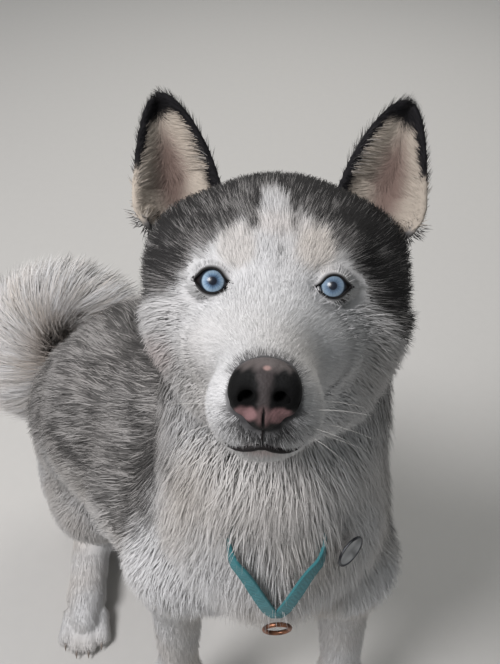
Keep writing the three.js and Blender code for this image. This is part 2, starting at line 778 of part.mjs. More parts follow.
// A ring round the neck: it hangs in a V on the breast and lies deep in the coat elsewhere
function collarPoint(turn) {
  const aside = Math.abs(turn);
  const rise = smoothMin(riseOfV(aside * COLLAR_ROUND), COLLAR_DIP, COLLAR_CORNER);
  const back = (1 - Math.cos(turn)) / 2;
  const spread = COLLAR_DIP_SPREAD;
  const bared = 1 - THREE.MathUtils.smoothstep(aside, spread * 0.8, spread * 1.6);
  const point = COLLAR_MIDDLE.clone().add(vec(0, 0, rise + COLLAR_NAPE_RISE * back));
  const out = vec(Math.sin(turn), -Math.cos(turn), 0);
  const depth = lerp(COLLAR_BURIED, -COLLAR_PROUD, bared);
  for (let round = 0; round < SETTLING_ROUNDS; round += 1) {
    point.addScaledVector(out, -(bodyField(point) + depth) * SETTLING_PACE);
  }
  return point;
}

function collarGeometry(grow) {
  const halfWidth = COLLAR_WIDTH / 2 + grow;
  const halfThickness = COLLAR_THICKNESS / 2 + grow;
  const positions = [];
  for (let step = 0; step < COLLAR_STEPS; step += 1) {
    const share = ((step + 0.5) / COLLAR_STEPS) * 2 - 1;
    const turn = Math.PI * Math.sign(share) * Math.pow(Math.abs(share), COLLAR_CROWDING);
    const centre = collarPoint(turn);
    const along = collarPoint(turn + 0.03).sub(collarPoint(turn - 0.03)).normalize();
    const out = vec(Math.sin(turn), -Math.cos(turn), COLLAR_LEAN).normalize();
    const wide = along.clone().cross(out).normalize();
    out.copy(wide).cross(along).normalize();
    [[1, 1], [-1, 1], [-1, -1], [1, -1]].forEach(([a, b]) => {
      const corner = centre.clone()
        .addScaledVector(wide, a * halfWidth)
        .addScaledVector(out, b * halfThickness);
      positions.push(...corner.toArray());
    });
  }
  const faces = [];
  for (let step = 0; step < COLLAR_STEPS; step += 1) {
    const next = (step + 1) % COLLAR_STEPS;
    for (let side = 0; side < 4; side += 1) {
      const a = step * 4 + side;
      const b = step * 4 + ((side + 1) % 4);
      const c = next * 4 + ((side + 1) % 4);
      const d = next * 4 + side;
      faces.push(a, b, c, a, c, d);
    }
  }
  const geometry = new THREE.BufferGeometry();
  geometry.setAttribute('position', new THREE.Float32BufferAttribute(positions, 3));
  geometry.setIndex(faces);
  return outward(geometry);
}

// The ring hangs from the bottom of the collar; the tag lies on the breast beside it
const RING_RADIUS = 9;
const RING_WIRE = 1.6;
const TAG_LENGTH = 24;
const TAG_WIDTH = 17;
const TAG_THICKNESS = 1.6;
const TAG_SIDES = 22;
const SLOPE_STEP = 6;

function lieOnBreast(geometry, x, z, clear, spin) {
  const point = vec(x, -200, z);
  for (let round = 0; round < 2 * SETTLING_ROUNDS; round += 1) {
    point.y += (bodyField(point) - clear) * SETTLING_PACE;
  }
  const change = (step) => bodyField(point.clone().add(step)) - bodyField(point.clone().sub(step));
  const slope = vec(
    change(vec(SLOPE_STEP, 0, 0)),
    change(vec(0, SLOPE_STEP, 0)),
    change(vec(0, 0, SLOPE_STEP)),
  ).normalize();
  geometry.rotateZ(radians(spin));
  const side = vec(0, 0, 1).cross(slope).normalize();
  const up = slope.clone().cross(side);
  geometry.applyMatrix4(new THREE.Matrix4().makeBasis(side, up, slope).setPosition(point));
  return toSolid(geometry);
}

function ringSolid(grow) {
  const torus = new THREE.TorusGeometry(RING_RADIUS, RING_WIRE + grow, 6, 14);
  return lieOnBreast(torus, 9, 447, 4, 0);
}

function tagSolid(grow) {
  const disc = new THREE.CylinderGeometry(1, 1, TAG_THICKNESS + 2 * grow, TAG_SIDES);
  disc.rotateX(Math.PI / 2);
  disc.scale(TAG_LENGTH / 2 + grow, TAG_WIDTH / 2 + grow, 1);
  return lieOnBreast(disc, 57, 509, 1.2, 40);
}

// Build every flesh part; each takes its region before the ones that follow
const sideName = (leg) => (leg.side > 0 ? 'left' : 'right');
const flesh = new Map();
forelegs.forEach((leg) => {
  flesh.set(`forepaw_${sideName(leg)}`, carve(forepawRegion(leg), bodyField, PAW_CELL, PAW_DETAIL));
  flesh.set(`foreleg_${sideName(leg)}`, carve(forelegRegion(leg), bodyField, LEG_CELL, LEG_DETAIL));
});
hindLegs.forEach((leg) => {
  flesh.set(`hind_foot_${sideName(leg)}`, carve(hindFootRegion(leg), bodyField, PAW_CELL, PAW_DETAIL));
});
hindLegs.forEach((leg) => {
  flesh.set(`thigh_${sideName(leg)}`, carve(thighRegion(leg), bodyField, LEG_CELL, LEG_DETAIL));
});
flesh.set('lower_jaw', carve([jawBackPlane, mouthPlane], bodyField, HEAD_CELL, HEAD_DETAIL));
flesh.set('head', carve([headPlane], bodyField, HEAD_CELL, HEAD_DETAIL));
flesh.set('neck', carve([collarPlane], bodyField, BODY_CELL, BODY_DETAIL));
flesh.set('hindquarters', carve([waistPlane], bodyField, BODY_CELL, BODY_DETAIL));
flesh.set('chest', carve([floor], bodyField, BODY_CELL, BODY_DETAIL));

// The tail's lengths, each cut square to its path
const TAIL_CUTS = [0.12, 0.42, 0.72, 1];
const TAIL_REACH = 0.12;         // how far past a cut its neighbour is still felt
const TAIL_SPAN = new THREE.Box3(vec(-400, 200, 20), vec(-40, 520, 460));
const tailSquare = (along, way) => [
  tailPath.getPointAt(along),
  tailPath.getTangentAt(along).multiplyScalar(way),
];

function tailLength(from, to, grow) {
  const stretch = tailStretch(Math.max(from - TAIL_REACH, 0), Math.min(to + TAIL_REACH, 1));
  const mesh = meshField((point) => stretch(point) - grow, TAIL_SPAN, TAIL_CELL);
  const whole = toSolid(simplify(mesh, TAIL_DETAIL));
  const started = whole.intersect(halfSpace(tailSquare(from, 1), GAP / 2 - grow));
  return to < 1 ? started.intersect(halfSpace(tailSquare(to, -1), GAP / 2 - grow)) : started;
}

const tailNames = ['tail_root', 'tail_middle', 'tail_tip'];
tailNames.forEach((name, index) => {
  flesh.set(name, tailLength(TAIL_CUTS[index], TAIL_CUTS[index + 1], 0));
});
const TAIL_ROOM = 3;
const tailSocket = tailLength(TAIL_CUTS[0], TAIL_CUTS[1], TAIL_ROOM);
['hindquarters', 'thigh_left', 'thigh_right'].forEach((name) => {
  flesh.set(name, largestPiece(flesh.get(name).subtract(tailSocket)));
});

// Fit the small pieces into the flesh, each with the gap all round
const fittings = new Map();
bothSides((side) => {
  const name = side > 0 ? 'left' : 'right';
  fittings.set(`eye_${name}`, [eyeSolid(side, 0), eyeSolid(side, GAP)]);
  fittings.set(`ear_${name}`, [0, CURVED_GAP].map((grow) => toSolid(earGeometry(side, grow))));
});
fittings.set('nose', [noseSolid(0), noseSolid(CURVED_GAP)]);
fittings.set('collar', [toSolid(collarGeometry(0)), toSolid(collarGeometry(GAP))]);
fittings.set('collar_ring', [ringSolid(0), ringSolid(GAP)]);
fittings.set('tag', [tagSolid(0), tagSolid(GAP)]);

const looks = {
  coat: { color: 0xc9c6c2, roughness: 0.95, metalness: 0 },
  ear: { color: 0x4b474a, roughness: 0.95, metalness: 0 },
  eye: { color: 0x8fb4d6, roughness: 0.1, metalness: 0 },
  nose: { color: 0x1d1a1c, roughness: 0.45, metalness: 0 },
  collar: { color: 0x2f7f86, roughness: 0.9, metalness: 0 },
  collar_ring: { color: 0x9a6a4a, roughness: 0.35, metalness: 1 },
  tag: { color: 0xb9bcc0, roughness: 0.3, metalness: 1 },
};
const pieces = new Map();
flesh.forEach((solid, name) => {
  const shape = [...fittings.values()].reduce((rest, [, room]) => rest.subtract(room), solid);
  pieces.set(name, { geometry: toGeometry(largestPiece(shape)), look: 'coat' });
});
fittings.forEach(([solid], name) => {
  pieces.set(name, { geometry: toGeometry(solid), look: name.replace(/_(left|right)$/, '') });
});

// The origin is on the floor, under the middle of the whole dog
const outline = new THREE.Box3();
pieces.forEach(({ geometry }) => {
  geometry.computeBoundingBox();
  outline.union(geometry.boundingBox);
});
const middle = outline.getCenter(new THREE.Vector3());
const dog = new THREE.Group();
pieces.forEach(({ geometry, look }, name) => {
  geometry.translate(-middle.x, -middle.y, -outline.min.z);
  geometry.computeVertexNormals();
  const mesh = new THREE.Mesh(geometry, new THREE.MeshStandardMaterial(looks[look]));
  mesh.name = name;
  dog.add(mesh);
});

export default dog;
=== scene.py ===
"""A sitting Siberian husky, life size: one skin, a coat of solid tufts, eyes, nose and collar."""

import math

import bpy
import numpy as np
import openvdb
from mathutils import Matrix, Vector
from mathutils.kdtree import KDTree


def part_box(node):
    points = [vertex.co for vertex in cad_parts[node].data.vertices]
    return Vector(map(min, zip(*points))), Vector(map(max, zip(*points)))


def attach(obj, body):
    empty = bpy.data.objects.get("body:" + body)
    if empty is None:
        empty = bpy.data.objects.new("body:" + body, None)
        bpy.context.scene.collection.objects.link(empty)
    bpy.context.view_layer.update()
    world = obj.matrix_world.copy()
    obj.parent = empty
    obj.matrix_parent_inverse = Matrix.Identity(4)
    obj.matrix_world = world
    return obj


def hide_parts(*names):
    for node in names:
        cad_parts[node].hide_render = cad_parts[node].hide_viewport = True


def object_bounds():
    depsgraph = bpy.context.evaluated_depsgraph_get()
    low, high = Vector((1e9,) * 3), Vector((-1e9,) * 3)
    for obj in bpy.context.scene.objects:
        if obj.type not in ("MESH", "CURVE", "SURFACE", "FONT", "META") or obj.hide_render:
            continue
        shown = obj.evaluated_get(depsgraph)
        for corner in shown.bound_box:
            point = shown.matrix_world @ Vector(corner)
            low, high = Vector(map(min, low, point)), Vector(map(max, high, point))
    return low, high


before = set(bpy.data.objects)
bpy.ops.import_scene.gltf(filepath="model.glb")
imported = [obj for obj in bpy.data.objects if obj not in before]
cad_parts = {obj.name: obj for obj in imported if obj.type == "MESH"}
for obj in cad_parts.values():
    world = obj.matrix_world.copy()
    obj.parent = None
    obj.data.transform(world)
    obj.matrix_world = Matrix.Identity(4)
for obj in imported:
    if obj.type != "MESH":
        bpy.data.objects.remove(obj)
cad_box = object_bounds()
rng = np.random.default_rng(11)
MM = 0.001


# Vectors, and the dog's own frames. Shapes are worked out in millimetres.
def unit(v):
    v = np.asarray(v, float)
    return v / np.maximum(np.linalg.norm(v, axis=-1, keepdims=True), 1e-9)


def turned(v, axis, degrees):
    a, u = math.radians(degrees), unit(axis)
    return v * math.cos(a) + np.cross(u, v) * math.sin(a) + u * (u @ v) * (1 - math.cos(a))


def full_turn(steps):
    return np.linspace(0, 2 * np.pi, steps, endpoint=False)


def node_middle(name):
    low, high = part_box(name)
    return np.array((low + high) / 2) / MM


HEAD_PITCH = 41.3
HEAD_YAW = 3.6
EYE_SPACING = 65
EYE_DEPTH = 8.5
forward = turned(turned(np.array([0, -1.0, 0]), [1, 0, 0], -HEAD_PITCH), [0, 0, 1], -HEAD_YAW)
left = turned(np.array([1.0, 0, 0]), [0, 0, 1], -HEAD_YAW)
upward = np.cross(forward, left)
eye_middle = (node_middle("eye_left") + node_middle("eye_right")) / 2 + EYE_DEPTH * forward
# The stance is written with its origin midway between the forefeet
STANCE = eye_middle - np.array([2, -31, 703])


def on_head(x, up, out):
    x, up, out = np.broadcast_arrays(np.asarray(x, float), up, out)
    return eye_middle + x[..., None] * left + up[..., None] * upward + out[..., None] * forward


def in_head(points):
    return (points - eye_middle) @ np.stack([left, upward, forward], 1)


def stance(x, y, z):
    return np.array([x, y, z], float) + STANCE


# Camera, light and floor. The focal length and the height of the picture are in its pixels.
SENSOR = 36
FOCAL_LENGTH, PICTURE_HEIGHT = 771, 664
CAMERA_PLACE = eye_middle + np.array([-12, -314, 268.3])
CAMERA_DROP = 44
FLOOR_RADIUS = 2600


def make_camera():
    data = bpy.data.cameras.new("camera")
    data.sensor_width = SENSOR
    data.lens = SENSOR * FOCAL_LENGTH / PICTURE_HEIGHT
    data.clip_start, data.clip_end = 0.01, 20
    camera = bpy.data.objects.new("camera", data)
    bpy.context.scene.collection.objects.link(camera)
    camera.location = Vector(CAMERA_PLACE * MM)
    camera.rotation_euler = (math.radians(90 - CAMERA_DROP), 0, 0)
    bpy.context.scene.camera = camera


def area_light(name, place, target, size, power, colour):
    data = bpy.data.lights.new(name, "AREA")
    data.shape = "DISK"
    data.size = size
    data.energy = power
    data.color = colour
    data.specular_factor = 0.5
    lamp = bpy.data.objects.new(name, data)
    bpy.context.scene.collection.objects.link(lamp)
    lamp.location = place
    lamp.rotation_euler = (Vector(target) - Vector(place)).to_track_quat("-Z", "Y").to_euler()


def make_studio():
    world = bpy.data.worlds.new("studio")
    bpy.context.scene.world = world
    world.use_nodes = True
    sky = world.node_tree.nodes["Background"].inputs
    sky["Color"].default_value = (0.94, 0.985, 1.0, 1)
    sky["Strength"].default_value = 0.21
    target = Vector((0.1, -0.1, 0.5))
    area_light("key", (-1.1, -0.95, 2.45), target, 1.0, 62, (1.0, 0.99, 1.0))
    area_light("fill", (1.6, -1.4, 1.4), target, 1.6, 0.5, (0.95, 1.0, 0.97))
    area_light("rim", (0.4, 1.8, 1.8), target, 1.2, 18, (1.0, 0.98, 0.95))
    bpy.context.scene.view_settings.view_transform = "Standard"
    floor = mesh_from_arrays("floor", *disc(FLOOR_RADIUS, 64))
    floor.data.materials.append(plain_material("floor", (0.60, 0.585, 0.565), 0.9))


def disc(radius, steps):
    turn = full_turn(steps)
    points = np.stack([np.cos(turn) * radius, np.sin(turn) * radius, 0 * turn], 1)
    faces = np.array([(i, (i + 1) % steps, steps) for i in range(steps)])
    return np.vstack([points, [[0, 0, 0]]]), faces


# Meshes and materials
def mesh_from_arrays(name, points, faces):
    """A smooth mesh from points (n, 3) in millimetres and three-cornered faces (m, 3) of indices."""
    mesh = bpy.data.meshes.new(name)
    mesh.vertices.add(len(points))
    mesh.vertices.foreach_set("co", (points * MM).astype(np.float32).ravel())
    mesh.loops.add(faces.size)
    mesh.loops.foreach_set("vertex_index", faces.astype(np.int32).ravel())
    mesh.polygons.add(len(faces))
    mesh.polygons.foreach_set("loop_start", np.arange(0, faces.size, 3, dtype=np.int32))
    mesh.polygons.foreach_set("use_smooth", np.ones(len(faces), bool))
    mesh.update(calc_edges=True)
    piece = bpy.data.objects.new(name, mesh)
    bpy.context.scene.collection.objects.link(piece)
    return piece


def corners_of(points, faces):
    return (points[faces[:, i]] for i in range(3))


def outward(points, faces):
    """The faces of a closed mesh, turned over if they look inward."""
    a, b, c = corners_of(points - points.mean(0), faces)
    inward = np.einsum("ij,ij->i", a, np.cross(b, c)).sum() < 0
    return faces[:, ::-1] if inward else faces


def vertex_normals(points, faces):
    a, b, c = corners_of(points, faces)
    across = np.cross(b - a, c - a)
    total = np.zeros_like(points)
    for i in range(3):
        for axis in range(3):
            total[:, axis] += np.bincount(faces[:, i], across[:, axis], len(points))
    return unit(total)


def neighbour_mean(points, faces):
    total, count = np.zeros_like(points), np.zeros(len(points))
    for i, j in ((0, 1), (1, 2), (2, 0)):
        for here, there in ((faces[:, i], faces[:, j]), (faces[:, j], faces[:, i])):
            for axis in range(3):
                total[:, axis] += np.bincount(here, points[there, axis], len(points))
            count += np.bincount(here, minlength=len(points))
    return total / count[:, None]


def nearest(points, marks):
    """For each point, the index of the mark nearest to it and the distance to that mark."""
    square = (points ** 2).sum(1)[:, None] + (marks ** 2).sum(1) - 2 * points @ marks.T
    best = square.argmin(1)
    return best, np.sqrt(np.maximum(square[np.arange(len(points)), best], 0))


def set_tint(piece, colours, gloss=1.0):
    """Linear colours (n, 3), one for each vertex, with the share of the gloss that is left as alpha."""
    layer = piece.data.color_attributes.new("tint", "FLOAT_COLOR", "POINT")
    filled = np.ones((len(colours), 4), np.float32)
    filled[:, :3] = colours
    filled[:, 3] = gloss
    layer.data.foreach_set("color", filled.ravel())


def linear(*srgb):
    c = np.array(srgb, float)
    return np.where(c <= 0.04045, c / 12.92, ((c + 0.055) / 1.055) ** 2.4)


def mixed(colour, other, share):
    """Colours mixed with another one; the share is one number, or one for each of the colours."""
    return colour + (other - colour) * np.clip(share, 0, 1)[..., None]


def painted(colour, *layers):
    """Lays each layer, a colour and its share, over the ones before it."""
    for other, share in layers:
        colour = mixed(colour, other, share)
    return colour


def repeated(colour, count):
    return np.repeat(colour[None], count, 0)


class Nodes:
    """A material's node tree, with short ways to add to it."""

    def __init__(self, name):
        self.material = bpy.data.materials.new(name)
        self.material.use_nodes = True
        self.tree = self.material.node_tree
        self.shader = self.tree.nodes["Principled BSDF"]

    def add(self, kind, **settings):
        node = self.tree.nodes.new("ShaderNode" + kind)
        for key, value in settings.items():
            if hasattr(node, key):
                setattr(node, key, value)
            else:
                node.inputs[key.replace("_", " ")].default_value = value
        return node

    def link(self, output, target):
        self.tree.links.new(output, target)

    def set(self, **values):
        for key, value in values.items():
            self.shader.inputs[key.replace("_", " ")].default_value = value

    def place(self):
        return self.add("TexCoord").outputs["Object"]

    def noise(self, scale, detail=4.0):
        node = self.add("TexNoise", Scale=scale, Detail=detail, Roughness=0.55)
        self.link(self.place(), node.inputs["Vector"])
        return node.outputs["Fac"]

    def mix(self, fac, a, b, mode="MIX"):
        node = self.add("Mix", data_type="RGBA", blend_type=mode)
        sockets = (node.inputs[0], node.inputs[6], node.inputs[7])
        for value, socket in zip((fac, a, b), sockets):
            if isinstance(value, bpy.types.NodeSocket):
                self.link(value, socket)
            elif isinstance(value, (int, float)):
                socket.default_value = value
            else:
                socket.default_value = (*value, 1)
        return node.outputs[2]

    def bump(self, height, strength, distance):
        node = self.add("Bump", Strength=strength, Distance=distance)
        self.link(height, node.inputs["Height"])
        self.link(node.outputs["Normal"], self.shader.inputs["Normal"])


def plain_material(name, colour, roughness):
    nodes = Nodes(name)
    speckle = nodes.noise(60.0)
    shade = nodes.mix(speckle, colour, tuple(0.96 * c for c in colour))
    nodes.link(shade, nodes.shader.inputs["Base Color"])
    nodes.set(Roughness=roughness)
    return nodes.material


make_camera()
make_studio()


# The body as rounded bulks: (start, radius, end, radius, coat depth, lie of the coat)
def limb(points, start, r0, end, r1):
    """Distance to a straight bulk whose radius runs from r0 to r1."""
    start, end = np.asarray(start, float), np.asarray(end, float)
    axis = end - start
    offset = points - start
    along = np.clip(offset @ axis / (axis @ axis), 0, 1)
    return np.linalg.norm(offset - along[:, None] * axis, axis=1) - (r0 + (r1 - r0) * along)


def oval(points, centre, radii):
    """Distance to an oval whose axes are those of the points' frame."""
    offset = (points - np.asarray(centre, float)) / radii
    near = np.linalg.norm(offset, axis=1)
    steep = np.linalg.norm(offset / radii, axis=1)
    return near * (near - 1) / np.maximum(steep, 1e-6)


def smooth_min(a, b, softness):
    overlap = np.maximum(softness - np.abs(a - b), 0) / softness
    return np.minimum(a, b) - overlap * overlap * softness / 4


def blend(fields, softness):
    total = fields[0]
    for field in fields[1:]:
        total = smooth_min(total, field, softness)
    return total


REAR_TURN = math.radians(37)
rear_forward = np.array([math.sin(REAR_TURN), -math.cos(REAR_TURN), 0])
rear_left = np.array([math.cos(REAR_TURN), math.sin(REAR_TURN), 0])
PELVIS = np.array([-178.0, 264.0, 150.0])


def on_rear(to_left, back, height):
    flat = np.array([PELVIS[0], PELVIS[1], height]) + STANCE
    return flat + rear_left * to_left - rear_forward * back


neck_base, neck_top = stance(6, 0, 470), stance(9, 34, 618)
ribs_front, ribs_middle, ribs_rear = stance(0, 26, 392), stance(-44, 84, 388), stance(-102, 168, 362)
loin, pelvis = stance(-158, 236, 282), stance(*PELVIS)
down = np.array([0, 0, -1.0])
spine = unit(loin - ribs_front)
# The coat's depth in millimetres, and the radii of the loin and the rump
RUFF, BACK, BELLY, LEG = 24, 15, 12, 6
LOIN, RUMP = 102, 98

trunk = [
    (neck_base, 96, neck_top, 85, RUFF, down),
    (stance(2, -28, 440), 56, stance(7, -26, 556), 52, RUFF, down),
    (stance(2, 46, 480), 60, neck_top, 66, 20, down + 0.4 * spine),
    (ribs_front, 86, ribs_middle, 112, BACK, down * 0.5 + spine),
    (ribs_middle, 112, ribs_rear, 114, BACK, down * 0.5 + spine),
    (ribs_rear, 114, loin, LOIN, BACK, down * 0.9 + spine),
    (loin, LOIN, pelvis, RUMP, BACK, down + spine * 0.4),
    (pelvis, RUMP, on_rear(0, 10, 74), 78, 10, down),
    (stance(4, 66, 566), 50, stance(-44, 112, 452), 72, 20, down + 0.9 * spine),
    (stance(0, 24, 312), 54, stance(-110, 185, 205), 74, BELLY, spine),
]

FORELEG_SPREAD = 88
forelegs = [
    {
        "blade": stance(side * 50, 30, 462), "shoulder": stance(side * 66, -14, 396),
        "elbow": stance(side * 80, 22, 292), "wrist": stance(side * FORELEG_SPREAD, 2, 112),
        "pastern": stance(side * FORELEG_SPREAD, -8, 55), "foot": stance(side * FORELEG_SPREAD, -34, 0),
        "heading": np.array([0, -1.0, 0]),
    }
    for side in (1, -1)
]
hind_legs = [
    {
        "hip": on_rear(40, 0, 186), "knee": on_rear(98, -112, 172), "hock": on_rear(100, 16, 46),
        "foot": on_rear(100, -122, 0), "heading": rear_forward,
    },
    {
        "hip": on_rear(-24, -2, 190), "knee": stance(-200, 185, 175), "hock": stance(-226, 276, 46),
        "foot": stance(-221, 112, 0), "heading": unit([0.03, -1, 0]),
    },
]


def foreleg_bulks(leg):
    return [
        (leg["blade"], 40, leg["shoulder"], 42, BACK, down),
        (leg["shoulder"], 42, leg["elbow"], 34, 10, down),
        (leg["elbow"], 33, leg["wrist"], 23, LEG, down),
        (leg["wrist"], 23, leg["pastern"], 23, 5, down),
    ]


def hind_leg_bulks(leg):
    shin = leg["knee"] * 0.4 + leg["hock"] * 0.6
    shin[2] = 104
    ankle = leg["foot"] - leg["heading"] * 30 + np.array([0, 0, 32])
    back_down = down - 0.5 * leg["heading"]
    return [
        (leg["hip"], 68, leg["knee"], 48, 12, back_down),
        (leg["hip"], 60, shin, 50, 12, down),
        (leg["knee"], 44, leg["hock"], 30, 9, back_down),
        (leg["hock"], 31, ankle, 28, 6, leg["heading"] + 0.3 * down),
    ]


PAW_WIDTH = 64


def paw_bulks(leg):
    across = np.array([-leg["heading"][1], leg["heading"][0], 0])
    toe = PAW_WIDTH * 0.2
    toe_height = toe * 0.8

    def at(to_left, ahead, height):
        return leg["foot"] + across * to_left + leg["heading"] * ahead + np.array([0, 0, height])

    lie = leg["heading"] + 0.4 * down
    pads = [(at(0, -22, 30), PAW_WIDTH * 0.36, at(0, 2, 24), PAW_WIDTH * 0.36, 5, lie)]
    for place in (-1.5, -0.5, 0.5, 1.5):
        reach = 20 if abs(place) > 1 else 30
        spread = place * PAW_WIDTH * 0.235
        knuckle = at(spread * 0.8, -6, toe_height + 8)
        pads.append((knuckle, toe, at(spread, reach, toe_height), toe, 3, lie))
    return pads


# The tail
curl_centre = stance(-251, 365, 261)
curl_up = np.array([0, 0.695, 0.719])
TAIL_CURL = 55
TAIL_RADIUS = 58
TAIL_ROOT, TAIL_TAPER = 34, 10
TAIL_STEPS = 16


def on_curl(degrees, radius):
    a = math.radians(degrees)
    return curl_centre + np.array([math.cos(a) * radius, 0, 0]) + curl_up * math.sin(a) * radius


tail_marks = [
    on_rear(0, 76, 150), on_rear(-4, 118, 172), on_curl(212, TAIL_CURL), on_curl(172, TAIL_CURL),
    on_curl(130, TAIL_CURL), on_curl(88, TAIL_CURL * 1.05), on_curl(44, TAIL_CURL * 1.3),
    on_curl(26, TAIL_CURL * 1.75),
]


def centripetal(marks, per_span):
    """A smooth curve through the marks, the same as the CAD tail's path."""
    marks = [2 * marks[0] - marks[1]] + marks + [2 * marks[-1] - marks[-2]]
    path = []
    for a, b, c, d in zip(marks, marks[1:], marks[2:], marks[3:]):
        t0 = 0.0
        t1 = t0 + np.linalg.norm(b - a) ** 0.5
        t2 = t1 + np.linalg.norm(c - b) ** 0.5
        t3 = t2 + np.linalg.norm(d - c) ** 0.5
        for t in np.linspace(t1, t2, per_span, endpoint=False):
            p = ((t1 - t) * a + (t - t0) * b) / (t1 - t0)
            q = ((t2 - t) * b + (t - t1) * c) / (t2 - t1)
            r = ((t3 - t) * c + (t - t2) * d) / (t3 - t2)
            s = ((t2 - t) * p + (t - t0) * q) / (t2 - t0)
            u = ((t3 - t) * q + (t - t1) * r) / (t3 - t1)
            path.append(((t2 - t) * s + (t - t1) * u) / (t2 - t1))
    return np.array(path + [marks[-2]])


def evenly(path, count):
    length = np.concatenate([[0], np.cumsum(np.linalg.norm(np.diff(path, axis=0), axis=1))])
    share = np.linspace(0, length[-1], count)
    return np.stack([np.interp(share, length, path[:, axis]) for axis in range(3)], 1)


tail_path = evenly(centripetal(tail_marks, 20), TAIL_STEPS + 1)


def tail_radius(along):
    swell = np.sin(np.pi * np.clip(along, 0, 1) ** 0.8)
    return TAIL_ROOT - TAIL_TAPER * along + swell * (TAIL_RADIUS - 30)


tail_bulks = []
for step in range(TAIL_STEPS):
    near, far = step / TAIL_STEPS, (step + 1) / TAIL_STEPS
    start, end = tail_path[step], tail_path[step + 1]
    depth = 8 + 16 * min(1, 3 * near)
    tail_bulks.append((start, tail_radius(near), end, tail_radius(far), depth, end - start))

# How softly bulks run into each other, in millimetres: within a group, and where two groups meet
FRONT_SOFT, HIND_SOFT, PAW_SOFT, TAIL_SOFT, HEAD_SOFT = 32, 26, 6, 10, 24
HIP_JOIN, FOOT_JOIN, TAIL_JOIN, NECK_JOIN, EAR_JOIN = 30, 14, 14, 26, 7
body_groups = [
    (trunk + [b for leg in forelegs for b in foreleg_bulks(leg)], FRONT_SOFT),
    ([b for leg in hind_legs for b in hind_leg_bulks(leg)], HIND_SOFT),
    ([b for leg in forelegs + hind_legs for b in paw_bulks(leg)], PAW_SOFT),
]
all_bulks = [b for group, _ in body_groups for b in group] + tail_bulks


# The head under its coat, in the head's frame: (centre, radii, coat depth)
LIP_FRONT = 92
skull = [
    ((1, 12, -62), (71, 60, 62), 7),
    ((50, 14, -66), (33, 36, 38), 9), ((-50, 14, -66), (33, 36, 38), 9),
    ((0, 4, -16), (30, 26, 20), 3),
    ((31, 17, -20), (18, 13, 13), 3), ((-31, 17, -20), (18, 13, 13), 3),
    ((47, -20, -52), (37, 44, 44), 12), ((-43, -20, -52), (38, 44, 44), 12),
    ((27, -34, -12), (22, 20, 28), 3), ((-27, -34, -12), (22, 20, 28), 3),
    ((3, -56, -50), (63, 44, 50), 15),
    ((11, -58, LIP_FRONT - 25), (12.5, 12.5, 17), 2), ((-11, -58, LIP_FRONT - 25), (12.5, 12.5, 17), 2),
]
MUZZLE = [
    ((0, -33, 4), 31, (0, -50, LIP_FRONT - 29), 22, 3),
    ((0, -64, -20), 27, (0, -66, LIP_FRONT - 33), 10, 3),
]


def head_parts(local, bare=1.0):
    """Distances to the head's bulks: bare 1 gives the skin, 0 the outside of the coat."""
    fields = [oval(local, c, np.array(r, float) - d * bare) for c, r, d in skull]
    return fields + [limb(local, a, ra - d * bare, b, rb - d * bare) for a, ra, b, rb, d in MUZZLE]


def bare_skull(points, bare=1.0):
    return blend(head_parts(in_head(points), bare), HEAD_SOFT)


def head_field(points):
    local = in_head(points)
    total = bare_skull(points)
    # Hollows that bare the eyes
    for side in (1, -1):
        hollow = oval(local, (side * EYE_SPACING / 2, 0, 5.0), (11.0, 8.5, 9.0))
        total = -smooth_min(-total, hollow, 5)
    return total


def bulk_field(points, bulks, softness, bare=1.0):
    fields = [limb(points, a, ra - d * bare, b, rb - d * bare) for a, ra, b, rb, d, _ in bulks]
    return blend(fields, softness)


def trunk_field(points):
    """Distance to the skin of the body and tail, without the paws and head."""
    front, hind = (bulk_field(points, *group) for group in body_groups[:2])
    tail = bulk_field(points, tail_bulks, TAIL_SOFT)
    return smooth_min(smooth_min(front, hind, HIP_JOIN), tail, TAIL_JOIN)


def coat_tips(points):
    """Distance to the outside of the coat, without the tail and ears."""
    front, hind, paws = (bulk_field(points, *group, 0.0) for group in body_groups)
    whole = smooth_min(smooth_min(front, hind, HIP_JOIN), paws, FOOT_JOIN)
    return smooth_min(whole, bare_skull(points, 0.0), NECK_JOIN)


# The nose leather, in a frame at its own middle
NOSE_MIDDLE = np.array([0.4, -47.5, 86.0])
NOSE_BULKS = [
    ((0, 3, -2), (13.0, 11.0, 12.0)), ((0, 8, -5), (12.0, 6.0, 11.0)),
    ((9.6, 0.5, 2), (6.2, 9.4, 8.2)), ((-9.6, 0.5, 2), (6.2, 9.4, 8.2)),
    ((0, -4, 5), (6.0, 9.0, 6.5)), ((0, -10, 1), (7.0, 5.0, 7.0)),
]


def nostril(local, side):
    """A round opening with a slit that runs out to the wing's edge."""
    hole = oval(local, (side * 7.0, 0.0, 10.0), (2.9, 2.4, 7.0))
    slit = limb(local, (side * 8.2, -0.8, 9.5), 1.7, (side * 15.5, -3.4, 2.5), 0.9)
    return smooth_min(hole, slit, 2.0)


def nose_groove(local):
    return limb(local, (0, -3.0, 12.6), 0.4, (0, -16.0, 7.0), 0.6)


def nose_field(local):
    total = blend([oval(local, centre, np.array(radii, float)) for centre, radii in NOSE_BULKS], 5)
    for side in (1, -1):
        total = -smooth_min(-total, nostril(local, side), 1.2)
    return -smooth_min(-total, nose_groove(local), 1.0)


# Ears: a cupped leaf each, given as a sheet that is thickened
EAR_LENGTH = 99
EAR_WIDTH = 62
EAR_HALF_THICK = 2.1
# The skin's grid: the size of a cell, how many times coarser it starts, how many cells an ear reaches,
# how flat a part may be to get fewer triangles, and the height of the soles over the floor
CELL = 2.0
COARSE = 3
EAR_BAND = 6.0
SKIN_ADAPTIVITY = 0.01
SOLE = 0.4


